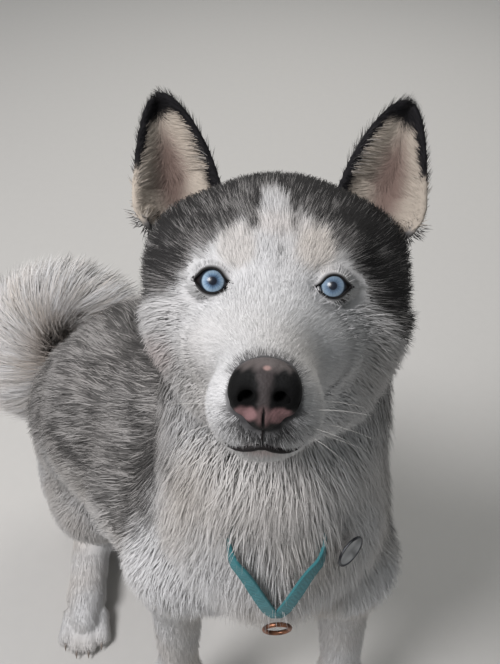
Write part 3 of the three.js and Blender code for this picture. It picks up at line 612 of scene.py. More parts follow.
def ear_sheet(side, up, turn):
    """Points on the middle of an ear: up from root to tip 0..1, turn -1..1 from its inner edge."""
    base = on_head(side * 61, 38, -72)
    tip = on_head(side * 78, 38 + EAR_LENGTH * 0.77, -66)
    across = unit(on_head(side * 88, 22, -68) - on_head(side * 31, 66, -76))
    rise = tip - base
    face = unit(np.cross(across, rise)) * side
    face = face if face @ forward > 0 else -face
    # The root is sunk in the skull
    root = base - 0.22 * rise - 4 * face
    half = (EAR_WIDTH / 2) * np.maximum(1 - up ** 1.55, 0) ** 0.62 + 1.0
    half = half * (1 - 0.3 * (turn > 0) * np.maximum(1 - up / 0.3, 0) ** 1.5)
    cup = 17 * (1 - up * 0.75) * (1 - turn * turn)
    lean = 5 * np.sin(up * np.pi) * 0.4
    climb = up + 0.3 * (1 - up) * np.maximum(turn, 0)
    return (root + climb[..., None] * (tip - root) + (turn * half - lean)[..., None] * across
            - cup[..., None] * face), face


def ear_distance_grid(side, low, shape):
    """Distance to the ear's sheet on the skin's grid, from a thin closed leaf."""
    rows, columns = 40, 24
    up, turn = np.meshgrid(np.linspace(0, 0.985, rows), np.linspace(-1, 1, columns), indexing="ij")
    middle, face = ear_sheet(side, up, turn)
    inset = (turn ** 2 < 0.999)[..., None] * 0.5
    front = (middle + face * inset).reshape(-1, 3)
    rear = (middle - face * inset).reshape(-1, 3)
    points = (np.vstack([front, rear]) - low) / CELL
    grid_index = np.arange(rows * columns).reshape(rows, columns)
    a, b = grid_index[:-1, :-1].ravel(), grid_index[:-1, 1:].ravel()
    c, d = grid_index[1:, 1:].ravel(), grid_index[1:, :-1].ravel()
    back = rows * columns
    quads = [np.stack([a, b, c, d], 1), np.stack([d, c, b, a], 1) + back]
    for edge in (grid_index[0], grid_index[-1][::-1], grid_index[:, 0][::-1], grid_index[:, -1]):
        quads.append(np.stack([edge[1:], edge[:-1], edge[:-1] + back, edge[1:] + back], 1))
    level = openvdb.FloatGrid.createLevelSetFromPolygons(
        points.astype(np.float32), quads=np.vstack(quads).astype(np.uint32),
        transform=openvdb.createLinearTransform(1.0), halfWidth=EAR_BAND)
    values = np.full(shape, EAR_BAND, np.float32)
    level.copyToArray(values)
    return values * CELL


# The skin as one closed mesh, from distances on a grid
def on_grid(field, axes):
    places = np.stack(np.meshgrid(*axes, indexing="ij"), -1).reshape(-1, 3)
    return field(places).reshape([len(axis) for axis in axes])


def surface(values, low, cell, limit, adaptivity, rounds):
    """The closed surface where the values on a grid are 0, smoothed a little; limit is their reach."""
    grid = openvdb.FloatGrid(limit)
    grid.copyFromArray(np.clip(values, -limit, limit).astype(np.float32))
    points, triangles, quads = grid.convertToPolygons(0.0, adaptivity)
    points = np.asarray(points, float) * cell + low
    triangles = np.asarray(triangles, np.int64).reshape(-1, 3)
    quads = np.asarray(quads, np.int64).reshape(-1, 4)
    faces = outward(points, np.vstack([triangles, quads[:, [0, 1, 2]], quads[:, [0, 2, 3]]]))
    # In and out again, so that nothing shrinks
    for strength in (0.5, -0.53) * rounds:
        points = points + strength * (neighbour_mean(points, faces) - points)
    return points, faces


def finer(values, axis):
    """The same grid with COARSE times as many steps along an axis."""
    values = np.moveaxis(values, axis, 0)
    near, far = values[:-1], values[1:]
    steps = [near * (1 - i / COARSE) + far * (i / COARSE) for i in range(COARSE)]
    result = np.stack(steps, 1).reshape(-1, *values.shape[1:])
    return np.moveaxis(result, 0, axis)


def skin_box():
    reach = np.array([max(ra, rb) - d for _, ra, _, rb, d, _ in all_bulks])[:, None]
    ends = np.array([[a, b] for a, _, b, _, _, _ in all_bulks])
    head = np.vstack([on_head(0, 60, -70), on_head(0, -60, LIP_FRONT), on_head(95, 125, -66),
                      on_head(-95, 125, -66)])
    low = np.minimum((ends.min(1) - reach).min(0), head.min(0)) - 12
    high = np.maximum((ends.max(1) + reach).max(0), head.max(0)) + 12
    low[2] = -12
    return low, high


def merge_in(low, values, box, field, softness):
    """Joins a field to the grid inside a box."""
    first = np.maximum(np.floor((box[0] - low) / CELL).astype(int), 0)
    last = np.minimum(np.ceil((box[1] - low) / CELL).astype(int), values.shape)
    part = tuple(slice(i, j) for i, j in zip(first, last))
    axes = [low[i] + np.arange(first[i], last[i]) * CELL for i in range(3)]
    values[part] = smooth_min(values[part], on_grid(field, axes), softness)


def skin_distances():
    low, high = skin_box()
    step = CELL * COARSE
    axes = [np.arange(low[i], high[i] + step, step) for i in range(3)]
    values = on_grid(trunk_field, axes).astype(np.float32)
    for axis in range(3):
        values = finer(values, axis)
    for leg in forelegs + hind_legs:
        box = leg["foot"] + np.array([[-75, -75, -14], [75, 75, 70]])
        merge_in(low, values, box, lambda places: bulk_field(places, paw_bulks(leg), PAW_SOFT), FOOT_JOIN)
    corners = np.vstack([on_head(x, up, out)
                         for x in (-90, 90) for up in (-125, 85) for out in (-140, 105)])
    merge_in(low, values, (corners.min(0), corners.max(0)), head_field, NECK_JOIN)
    for side in (1, -1):
        ear = ear_distance_grid(side, low, values.shape) - EAR_HALF_THICK
        part = tuple(slice(max(i.min() - 1, 0), i.max() + 2) for i in np.nonzero(ear < 9))
        values[part] = smooth_min(values[part], ear[part], EAR_JOIN)
    # The soles are flat at the floor
    heights = low[2] + np.arange(values.shape[2]) * CELL
    return low, np.maximum(values, (SOLE - heights)[None, None, :])


def skin_mesh():
    low, values = skin_distances()
    points, faces = surface(values, low, CELL, 10.0, SKIN_ADAPTIVITY, 3)
    points[:, 2] = np.maximum(points[:, 2], SOLE)
    return points, faces


# Smooth noise over the body, for wavering lines and uneven fur
def make_waves(seed, size):
    """Seven waves about size millimetres long: their directions and their starts."""
    source = np.random.default_rng(seed)
    directions = unit(source.normal(size=(7, 3))) * source.uniform(0.7, 1.5, (7, 1)) * 2 * np.pi / size
    return directions, source.uniform(0, 2 * np.pi, 7)


def waver(points, waves):
    """Smooth noise, mostly between -1 and 1."""
    return np.sin(points @ waves[0].T + waves[1]).sum(1) / 2.6


def ramp(value, start, end):
    """0 at start, 1 at end, smooth between."""
    t = np.clip((value - start) / (end - start), 0, 1)
    return t * t * (3 - 2 * t)


def spot(x, y, centre, radii, soft=0.35):
    """1 inside an ellipse, 0 outside it."""
    reach = np.hypot((x - centre[0]) / radii[0], (y - centre[1]) / radii[1])
    return 1 - ramp(reach, 1 - soft, 1 + soft)


# Where on the ears a point is
def ear_places(points):
    """Up 0..1 and turn -1..1 on the nearer ear, the gap to it, its front or back, and its lie."""
    count = len(points)
    result = {"up": np.zeros(count), "turn": np.zeros(count), "front": np.zeros(count),
              "lie": np.zeros((count, 3)), "gap": np.full(count, 99.0)}
    x, height, out = in_head(points).T
    for side in (1, -1):
        near = np.nonzero((height > 14) & (x * side > 20) & (np.abs(out + 70) < 45))[0]
        if not len(near):
            continue
        up, turn = np.meshgrid(np.linspace(0, 1, 36), np.linspace(-1, 1, 21), indexing="ij")
        sheet, face = ear_sheet(side, up, turn)
        rise = unit(ear_sheet(side, up + 0.02, turn * 0.9)[0] - sheet).reshape(-1, 3)
        flat = sheet.reshape(-1, 3)
        best, gap = nearest(points[near], flat)
        better = gap < result["gap"][near]
        near, best, gap = near[better], best[better], gap[better]
        result["up"][near] = up.ravel()[best]
        result["turn"][near] = turn.ravel()[best]
        result["front"][near] = np.sign((points[near] - flat[best]) @ face)
        result["lie"][near] = rise[best]
        result["gap"][near] = gap
    return result


# Markings: the same for the skin and the coat. Heights and widths on the face are in millimetres,
# spread from a point in front of the nose so that they follow the face round.
FACE_POINT = 413
# The lower edge of the dark cap on the two sides of the face: (places across, heights)
CAP_RIGHT = ((0, 9, 19, 29, 34, 42, 49, 55, 65, 90), (36, 37, 36, 29, 22, 15, 9, -2, -9, -24))
CAP_LEFT = (
    (0, 14, 25, 34, 38, 46, 52, 55, 62, 66, 70, 90),
    (36, 37, 35, 27, 19, 13, 3, -6, -15, -25, -40, -70),
)
border_waves, streak_waves, patch_waves = make_waves(3, 16), make_waves(4, 34), make_waves(5, 90)

WHITE = linear(0.885, 0.882, 0.885)
CREAM = linear(0.85, 0.80, 0.745)
BUFF = linear(0.72, 0.62, 0.53)
SILVER = linear(0.66, 0.645, 0.635)
GREY = linear(0.40, 0.39, 0.395)
CHARCOAL = linear(0.13, 0.125, 0.135)
BLACK = linear(0.045, 0.043, 0.046)
PINK = linear(0.80, 0.62, 0.58)
BARE_PINK = linear(0.58, 0.47, 0.44)


def face_spread(points):
    local = in_head(points)
    scale = FACE_POINT / np.maximum(FACE_POINT - local[:, 2], 60)
    return local[:, 0] * scale, local[:, 1] * scale, local


# Dark lines over the shoulder and ribs, in the stance's frame: (places, half width, strength)
DARK_LINES = [
    ([(-112, 140, 474), (-103, 81, 477), (-101, 27, 454), (-109, -4, 400), (-112, 0, 350)], 11, 0.95),
    ([(-100, 75, 478), (-58, -11, 520), (-44, -35, 527)], 12, 0.5),
    ([(-116, 160, 469), (-135, 129, 460), (-147, 109, 447), (-149, 69, 416)], 8, 0.95),
    ([(-195, 125, 391), (-171, 92, 400), (-146, 60, 412), (-126, 26, 417), (-116, 8, 393)], 8, 0.95),
    ([(66, 98, 468), (88, 40, 441), (110, 30, 372)], 11, 0.9),
    ([(56, 79, 480), (66, 26, 492), (58, -14, 505)], 12, 0.55),
]


def tail_places(points, normals):
    """How far along the tail a point is (-1 off it), and how much it faces into the curl."""
    best, gap = nearest(points, tail_path)
    share = best / TAIL_STEPS
    body = limb(points, loin, LOIN, pelvis, RUMP)
    along = np.where((gap < tail_radius(share) + 14) & (body > 2), share, -1.0)
    inward = unit(curl_centre - tail_path[best])
    return along, (normals * inward).sum(1)


def body_markings(points, normals, fine, streak, patch):
    """White below, under a grey saddle with dark lines, a pale tail and a dark nape."""
    place = points - STANCE
    x, y, z = place.T
    beside = np.abs(x - np.interp(y, [0, 84, 236, 300], [0, -44, -158, -200]))
    along = np.interp(y, [-60, 40, 120, 200, 260, 340], [0, 0.1, 0.4, 0.7, 0.9, 1])
    facing_up = normals[:, 2] * 0.75 + normals[:, 1] * 0.5 + 0.1 * streak + 0.08 * fine
    height = z - np.interp(along, [0, 0.4, 0.7, 1], [470, 372, 320, 200])
    saddle = ramp(facing_up + height / 150, -0.70, 0.05) * ramp(y, -30, 36)
    saddle = saddle * ramp(z, 150, 235)
    bands = 0.5 + 0.5 * np.sin((y * 0.8 - x * 0.6) / 7.2 + 2.2 * streak + 1.2 * fine)
    spine_line = 1 - ramp(beside, 6, 34)
    dark = saddle * (0.34 + 0.46 * bands ** 3 + 0.10 * patch + 0.40 * spine_line)
    for line, reach, strength in DARK_LINES:
        gap = np.min([limb(place, start, 0, end, 0) for start, end in zip(line, line[1:])], axis=0)
        dark = np.maximum(dark, strength * ramp(gap + 3 * fine, reach * 0.85, reach * 0.3))
    light = painted(repeated(WHITE, len(points)), (CREAM, 0.12 + 0.2 * patch),
                    (SILVER * 0.85, 0.5 * ramp(z, 100, 200) * ramp(y, -40, 60)),
                    (SILVER * 0.95, 0.85 * saddle))

    # The tail is grey-brown on the inner side of its curl, painted shade where the curl faces inward, and
    # dark in the curl's middle, a painted shadow in the curl's hollow
    along_tail, inner_side = tail_places(points, normals)
    on_tail = along_tail >= 0
    tail_dark = 0.75 * ramp(along_tail, 0.24, 0.02) + 0.35 * ramp(inner_side, 0.35, 0.95)
    tail_light = painted(repeated(WHITE * 1.08, len(points)), (CREAM, 0.25 + 0.2 * streak),
                         (BUFF * 0.8, 0.55 * ramp(inner_side, 0.2, 0.9)))
    # Painted shadow: charcoal fills the middle of the curl
    curl_shadow = ramp(np.linalg.norm(points - curl_centre, axis=1), 40, 20) * ramp(inner_side, 0, 0.4)
    light = mixed(np.where(on_tail[:, None], tail_light, light), CHARCOAL, curl_shadow * 0.8)
    dark = np.where(on_tail, np.maximum(tail_dark, 0.9 * curl_shadow), dark)

    # The nape's dark hair runs down both sides of the neck to a point
    axis_share = np.clip((z - 430) / 190, 0, 1)
    behind = (y - (-6 + 38 * axis_share)) / 84 + 0.08 * fine + 0.06 * streak
    nape = ramp(behind, -0.20, 0.12) * ramp(z, 380, 470) * ramp(z, 760, 640)
    nape *= 1 - 0.85 * ramp(y, 20, 70) * ramp(z, 570, 510)
    ruff = ramp(z, 430, 520) * ramp(y, 60, -10)
    # The last layer greys the ruff a little: partly the fur's own grey, partly painted shade
    light = painted(light, (SILVER * 0.85, nape * 0.8), (SILVER, 0.15 * ruff))
    return light, np.maximum(dark, nape * 0.9)


def face_markings(points, fine, streak, patch):
    """A cap that comes down both temples, a blaze, pale brows and a dark rim to nose and lips."""
    u, v, local = face_spread(points)
    x, up, out = local.T
    border = np.where(u < 0, np.interp(-u, *CAP_RIGHT), np.interp(u, *CAP_LEFT))
    over = v - border + 2.2 * fine + 1.5 * streak + 2.5
    cap = ramp(over, -3.5, 7.5)
    blaze_width = np.interp(v, [32, 40, 46, 51, 55], [9.5, 8, 7.8, 7, -4])
    blaze_middle = np.interp(v, [20, 50], [2.5, -1.5])
    blaze = 1 - ramp(np.abs(u - blaze_middle) - blaze_width + 1.3 * fine, -2.5, 3)
    cap = cap * (1 - 0.92 * blaze * ramp(out, -70, -40))
    cap_dark = cap * (0.64 + 0.22 * ramp(over, 3, 22) + 0.08 * streak)
    jaw = ramp(out, -66, -90) * ramp(v, -70, -25)
    line = (1 - ramp(np.abs(u - 2.8 - 0.03 * v), 0.6, 2.6)) * ramp(v, 6, 14) * ramp(v, 40, 26)
    smudge = spot(u, v, (25, 8), (6, 3.5), 0.7) + 0.7 * spot(u, v, (-25, 9), (6, 3), 0.7)
    lip = spot(x, up, (1, -63), (17, 9), 0.5) * ramp(out, 40, 60)
    leather = nose_field(local - NOSE_MIDDLE)
    rim = ramp(leather, 10, 2) * ramp(np.abs(up + 47), 4, 9)
    dark = np.maximum.reduce([cap_dark, 0.85 * jaw, 0.22 * line, 0.22 * smudge, 0.85 * lip, 0.62 * rim])
    brow = spot(u, v, (-20.5, 21), (11, 12)) + spot(u, v, (23, 22), (11, 12))
    cheek_pink = 0.35 * spot(u, v, (-61, -43), (10, 12), 0.6)
    chin_pink = 0.3 * spot(x, up, (0, -74), (9, 3), 0.5) * ramp(out, 40, 55)
    # The last layer greys the lower sides of the face: partly the fur's own grey, partly painted shade on
    # the sides turned from the light
    light = painted(repeated(WHITE, len(points)), (CREAM, 0.4 * brow + 0.05 + 0.1 * patch),
                    (BUFF, 0.2 * spot(u, v, (0, 34), (16, 6), 0.6)),
                    (SILVER * 0.85, np.maximum(cap, jaw) * 0.9), (GREY, 0.35 * rim + 0.1 * lip),
                    (CHARCOAL * 1.6, 0.8 * ramp(leather, 3.5, 1.5)), (PINK, cheek_pink + chin_pink),
                    (SILVER, 0.45 * ramp(np.abs(x), 26, 60) * ramp(up, 8, -20)))
    return light, dark


def ear_markings(points):
    """Black outside and along the rim, cream and bare pink within; also the share that is ear."""
    ear = ear_places(points)
    up, turn, front = ear["up"], ear["turn"], ear["front"] > 0
    from_root = np.where(front & (turn > -0.35), ramp(up, 0.0, 0.1), ramp(up, 0.12, 0.26))
    rim_width = np.where(turn < 0, 0.13, np.interp(up, [0.45, 0.62, 0.85], [-0.15, 0.04, 0.15]))
    rim = np.clip(ramp(1 - np.abs(turn), rim_width + 0.10, rim_width) + ramp(up, 0.84, 0.92), 0, 1)
    outer_fringe = ramp(turn, 0.55, 0.85) * ramp(up, 0.6, 0.42)
    bare = spot(turn, up, (0.10, 0.5), (0.46, 0.30), 0.6) * front
    # The ears' cream and bare pink are darkened, more on the dog's left ear: painted shade in the cupped
    # ears, deeper on the side turned from the light
    cream = CREAM * np.where(in_head(points)[:, 0] < 0, 0.86, 0.72)[:, None]
    light = painted(cream, (BARE_PINK * 0.62, 0.85 * bare),
                    (CHARCOAL, np.where(front, rim, 0.9 - 0.8 * outer_fringe)))
    return light, np.where(front, rim, 0.95 - 0.8 * outer_fringe), ramp(ear["gap"], 9, 4) * from_root


def markings(points, normals, head_share):
    """Light colour under the tips (n, 3), and how many of the tips are dark (0..1)."""
    noise = [waver(points, waves) for waves in (border_waves, streak_waves, patch_waves)]
    light, dark = body_markings(points, normals, *noise)
    face_light, face_dark = face_markings(points, *noise)
    ear_light, ear_dark, on_ear = ear_markings(points)
    light = painted(light, (face_light, head_share), (ear_light, on_ear))
    dark = dark * (1 - head_share) + face_dark * head_share
    return light, np.clip(dark * (1 - on_ear) + ear_dark * on_ear, 0, 1)


# How the coat lies at each point of the skin
NOSE_ROOT = np.array([0, -42, 96.0])
# How far, in millimetres, a bulk's coat runs on into its neighbour's
BLUR = 7
head_depths = np.array([d for _, _, d in skull] + [m[4] for m in MUZZLE], float)


def head_lie(points):
    """Away from the nose, round the eyes, back and down over the cheeks."""
    local = in_head(points)
    flow = unit(local - NOSE_ROOT)
    flow[:, 1] -= 0.55 * ramp(np.abs(local[:, 0]), 30, 62) * ramp(local[:, 1], 10, -20)
    flow[:, 2] -= 0.6
    for side in (1, -1):
        away = local - np.array([side * EYE_SPACING / 2, 0, 0])
        near = ramp(np.linalg.norm(away[:, :2], axis=1), 26, 10)[:, None]
        flow = flow + near * 0.5 * unit(away * np.array([1, 1, 0.0]))
    flow = unit(flow)
    return flow[:, 0, None] * left + flow[:, 1, None] * upward + flow[:, 2, None] * forward


bulk_lies = unit(np.array([lie for *_, lie in all_bulks]))
bulk_depths = np.array([depth for *_, depth, _ in all_bulks], float)
# The region of the coat that each of the bulks bears, in the order of all_bulks
bulk_regions = (["ruff", "ruff", "nape", "chest", "back", "back", "rump", "rump", "nape", "belly"]
                + ["shoulders", "shoulders", "forelegs", "forelegs"] * 2
                + ["thighs", "thighs", "hindlegs", "hindlegs"] * 2
                + ["forelegs"] * 10 + ["hindlegs"] * 10 + ["tail"] * TAIL_STEPS)


def coat_places(points):
    """What the coat is like at each point: depth, lie, the bulk it grows on, and how far it is head."""
    body = np.stack([limb(points, a, ra - d, b, rb - d) for a, ra, b, rb, d, _ in all_bulks], 1)
    head = np.stack(head_parts(in_head(points)), 1)
    closest = np.minimum(body.min(1), head.min(1))[:, None]
    body_weight = np.exp((closest - body) / BLUR)
    head_weight = np.exp((closest - head) / BLUR)
    total = body_weight.sum(1) + head_weight.sum(1)
    depth = (body_weight @ bulk_depths + head_weight @ head_depths) / total
    share = head_weight.sum(1) / total
    lie = (body_weight @ bulk_lies) / total[:, None] + head_lie(points) * share[:, None]
    return {"depth": depth, "lie": lie, "bulk": body.argmin(1), "head": share}


skin_points, skin_faces = skin_mesh()
skin_normals = vertex_normals(skin_points, skin_faces)
skin_coat = coat_places(skin_points)


def coat_material(name):
    nodes = Nodes(name)
    tint = nodes.add("Attribute", attribute_name="tint").outputs["Color"]
    streaks = nodes.noise(900.0, 2.0)
    shade = nodes.mix(streaks, tint, (0.80, 0.79, 0.78), "MULTIPLY")
    nodes.link(nodes.mix(0.35, tint, shade), nodes.shader.inputs["Base Color"])
    nodes.bump(nodes.noise(1400.0, 3.0), 0.5, 0.0004)
    nodes.set(Roughness=0.8, Specular_IOR_Level=0.12)
    return nodes.material


coat_look = coat_material("coat")

skin = mesh_from_arrays("skin", skin_points, skin_faces)
light, dark = markings(skin_points, skin_normals, skin_coat["head"])
# The skin is the markings darkened: painted shade in the gaps between the tufts
set_tint(skin, mixed(light * 0.85, CHARCOAL, dark * 0.75))
skin.data.materials.append(coat_look)


# Bare parts: eyes, lids, nose leather, lips, claws and whiskers
EYEBALL = 11.0
IRIS, PUPIL = 6.5, 2.2
# Half the width and height of the place round an eye that the skin's hair leaves free
SOCKET = np.array([13.5, 11.0])


def ring_mesh(rows, closed_rows=False):
    """A surface through rows of points (r, n, 3), each row a closed ring."""
    rows = np.asarray(rows)
    count, steps = rows.shape[:2]
    faces = []
    for i in range(count if closed_rows else count - 1):
        here, there = i * steps, ((i + 1) % count) * steps
        for j in range(steps):
            k = (j + 1) % steps
            faces += [(here + j, here + k, there + k), (here + j, there + k, there + j)]
    points = rows.reshape(-1, 3)
    if not closed_rows:
        first, last = len(points), len(points) + 1
        points = np.vstack([points, rows[0].mean(0), rows[-1].mean(0)])
        faces += [(first, (j + 1) % steps, j) for j in range(steps)]
        start = (count - 1) * steps
        faces += [(last, start + j, start + (j + 1) % steps) for j in range(steps)]
    return points, outward(points, np.array(faces))


def bare_piece(name, points, faces, colours, material, *nodes, gloss=1.0):
    """A piece that shows its painted colours; one colour may stand for all its points."""
    colours = colours if colours.ndim > 1 else repeated(colours, len(points))
    piece = mesh_from_arrays(name, points, faces)
    set_tint(piece, colours, gloss)
    piece.data.materials.append(material)
    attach(piece, "root")
    if nodes:
        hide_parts(*nodes)
    return piece


def tint_material(name, grain, depth, rough_hollows=False, **values):
    """Shows the piece's painted tint, with a fine grain; its gloss may fade in the hollows."""
    nodes = Nodes(name)
    paint = nodes.add("Attribute", attribute_name="tint")
    tint = paint.outputs["Color"]
    fine = nodes.noise(grain, 3.0)
    shade = nodes.mix(fine, tint, (0.72, 0.70, 0.70), "MULTIPLY")
    nodes.link(nodes.mix(0.4, tint, shade), nodes.shader.inputs["Base Color"])
    if rough_hollows:
        rough = nodes.add("Math", operation="MULTIPLY_ADD")
        rough.inputs[1].default_value = values.pop("Roughness") - 1
        rough.inputs[2].default_value = 1.0
        nodes.link(paint.outputs["Alpha"], rough.inputs[0])
        nodes.link(rough.outputs["Value"], nodes.shader.inputs["Roughness"])
    if depth:
        cells = nodes.add("TexVoronoi", Scale=grain * 0.55)
        nodes.link(nodes.place(), cells.inputs["Vector"])
        nodes.bump(cells.outputs["Distance"], 0.6, depth)
    nodes.set(**values)
    return nodes.material


eye_look = tint_material("eyeball", 900.0, 0, Specular_IOR_Level=0.3, Roughness=0.3,
                         Coat_Weight=0.4, Coat_Roughness=0.2)
lid_look = tint_material("lids", 1400.0, 0.0002, Specular_IOR_Level=0.25, Roughness=0.65)
nose_look = tint_material("nose_leather", 1300.0, 0.00025, rough_hollows=True,
                          Specular_IOR_Level=0.2, Roughness=0.58)
claw_look = tint_material("claw", 700.0, 0, Specular_IOR_Level=0.5, Roughness=0.38)
whisker_look = tint_material("whisker", 2000.0, 0, Specular_IOR_Level=0.4, Roughness=0.4)


def make_eye(name, side):
    centre = node_middle(name)
    gaze = unit(unit(CAMERA_PLACE - centre) + forward * 0.6 + upward * 0.13)
    right = unit(np.cross(gaze, upward))
    over = np.cross(right, gaze)
    turn = full_turn(144)
    polar = np.radians(np.concatenate([np.linspace(0.8, 40, 50), np.linspace(44, 178, 20)]))
    # The cornea stands a little out of the ball
    radius = EYEBALL + 0.9 * np.exp(-(np.degrees(polar) / 27) ** 2)
    circle = np.cos(turn)[:, None] * right + np.sin(turn)[:, None] * over
    aside, ahead = np.sin(polar) * radius, np.cos(polar) * radius
    rows = aside[:, None, None] * circle + ahead[:, None, None] * gaze
    reach = aside[:, None] * np.ones(len(turn))
    reach = np.where(polar[:, None] > np.pi / 2, 99, reach)
    spokes = sum(np.sin(turn * k + k * k) / 3 for k in (5, 17, 29, 41, 67))[None, :]
    depth = (reach - PUPIL) / (IRIS - PUPIL)
    shade = painted(linear(0.43, 0.54, 0.655),
                    (linear(0.60, 0.69, 0.77), ramp(depth + 0.08 * spokes, 0.25, 0.75)),
                    (linear(0.23, 0.30, 0.39), ramp(depth + 0.10 * spokes, 0.42, 0.02)))
    shade = shade * (1 + 0.16 * spokes * ramp(depth, 0, 0.3))[..., None]
    # The upper lid shades the iris from above
    shade = shade * (1 - 0.28 * ramp(reach * np.sin(turn)[None, :], -1, IRIS))[..., None]
    # The dog's left iris is painted greyer and darker: painted shade on the side of the face turned from
    # the light
    if side > 0:
        shade = mixed(shade, linear(0.36, 0.41, 0.47), 0.45)
    # The iris's dark edge, the sclera and the pupil
    shade = painted(shade, (linear(0.10, 0.13, 0.17), ramp(reach, IRIS - 1.1, IRIS - 0.2)),
                    (linear(0.11, 0.09, 0.09), ramp(reach, IRIS + 0.2, IRIS + 0.8)),
                    (linear(0.10, 0.12, 0.17), ramp(reach, PUPIL + 0.25, PUPIL - 0.15)))
    points, faces = ring_mesh(rows + centre)
    tints = np.vstack([shade.reshape(-1, 3), shade[0].mean(0), shade[-1].mean(0)])
    piece = bare_piece(name + "_ball", points, faces, tints, eye_look, name)


def surface_out(x, up):
    """How far forward the head's skin is, without its eye hollows, at places on the face."""
    steps = np.linspace(45, -75, 241)
    places = on_head(x[:, None], up[:, None], steps[None, :])
    field = bare_skull(places.reshape(-1, 3)).reshape(len(x), -1)
    return steps[(field < 0).argmax(1)]


# The eye's opening: middle, half width and height, how far the corners run on, the inner one's drop
EYE_SHAPES = {
    1: ((0.1, 0.6), (7.3, 6.5), 3.0, 3.6, -1.6),
    -1: ((0.3, 1.1), (8.1, 7.2), 2.6, 4.0, -2.4),
}


def opening(side):
    """The opening's oval, and what its corners add to it, from its middle."""
    _, half, outer, inner, drop = EYE_SHAPES[side]
    turn = full_turn(96)
    turn = turn - 0.25 * np.sin(2 * turn)
    across, up = np.cos(turn), np.sin(turn)
    from_outer, from_inner = np.exp(-((1 - across) / 0.05)), np.exp(-((1 + across) / 0.05))
    run = np.stack([outer * from_outer - inner * from_inner, drop * np.exp(-((1 + across) / 0.3))], 1)
    return np.stack([half[0] * across, half[1] * up], 1), run


# The lids' rows, from the edge outward and back inside: (size, ball radius, share of the skull, lift)
LID_ROWS = [
    (0.83, 11.2, 0, 0), (0.87, 12.0, 0, 0), (0.94, 12.5, 0, 0), (1.0, 12.4, 0, 0),
    (1.10, 12.5, 0.05, 0.2), (1.25, 12.6, 0.35, 0.3), (1.45, 12.4, 0.75, 0.2), (1.75, 12, 1, -0.2),
    (2.1, 12, 1, -1.2), (2.0, 12, 1, -4.5), (1.3, 10.0, 0, 0), (0.84, 10.4, 0, 0),
]


def lid_mesh(side):
    """The lids' points and faces, and the number of the row that each point is on."""
    centre = in_head(node_middle("eye_left" if side > 0 else "eye_right"))
    middle = np.array(EYE_SHAPES[side][0])
    spread, run = opening(side)
    rows = []
    for size, ball, share, lift in LID_ROWS:
        place = middle + spread * size + run * np.interp(size, [0.8, 1, 1.45, 2.1], [0.7, 1, 1, 0.5])
        share = np.maximum(share, 0.8 * ramp(np.hypot(*place.T), 8.5, 12)) if size >= 1 else share
        reach = np.minimum(np.hypot(*place.T), ball * 0.97)
        on_ball = centre[2] + np.sqrt(ball ** 2 - reach ** 2)
        x, up = centre[0] + side * place[:, 0], centre[1] + place[:, 1]
        rows.append(on_head(x, up, on_ball * (1 - share) + surface_out(x, up) * share + lift))
    points, faces = ring_mesh(rows, closed_rows=True)
    a, b, c = corners_of(points, faces)
    front = (np.cross(b - a, c - a) @ forward)[:len(spread) * 2].sum()
    return points, faces if front > 0 else faces[:, ::-1], np.repeat(np.arange(len(rows)), len(spread))


def make_lids(side):
    """Makes a pair of lids, and gives back the part of them that hair grows on."""
    points, faces, row = lid_mesh(side)
    normals = vertex_normals(points, faces)
    light, dark = markings(points, normals, np.ones(len(points)))
    edge = np.interp(row, [3, 4, 5, 6, 8.5, 9.5], [1, 0.7, 0.1, 0, 0, 0])
    # As on the skin, the markings are darkened here: painted shade under the tufts; the edge itself is
    # black
    tint = painted(light * 0.85, (CHARCOAL, dark * 0.75), (linear(0.10, 0.085, 0.085), edge))
    tint[(row < 4) | (row > 9)] = linear(0.06, 0.052, 0.054)
    bare_piece("lids_" + ("left" if side > 0 else "right"), points, faces, tint, lid_look)
    outer_faces = faces[(row[faces].min(1) >= 3) & (row[faces].max(1) <= 8)]
    return points, outer_faces, normals


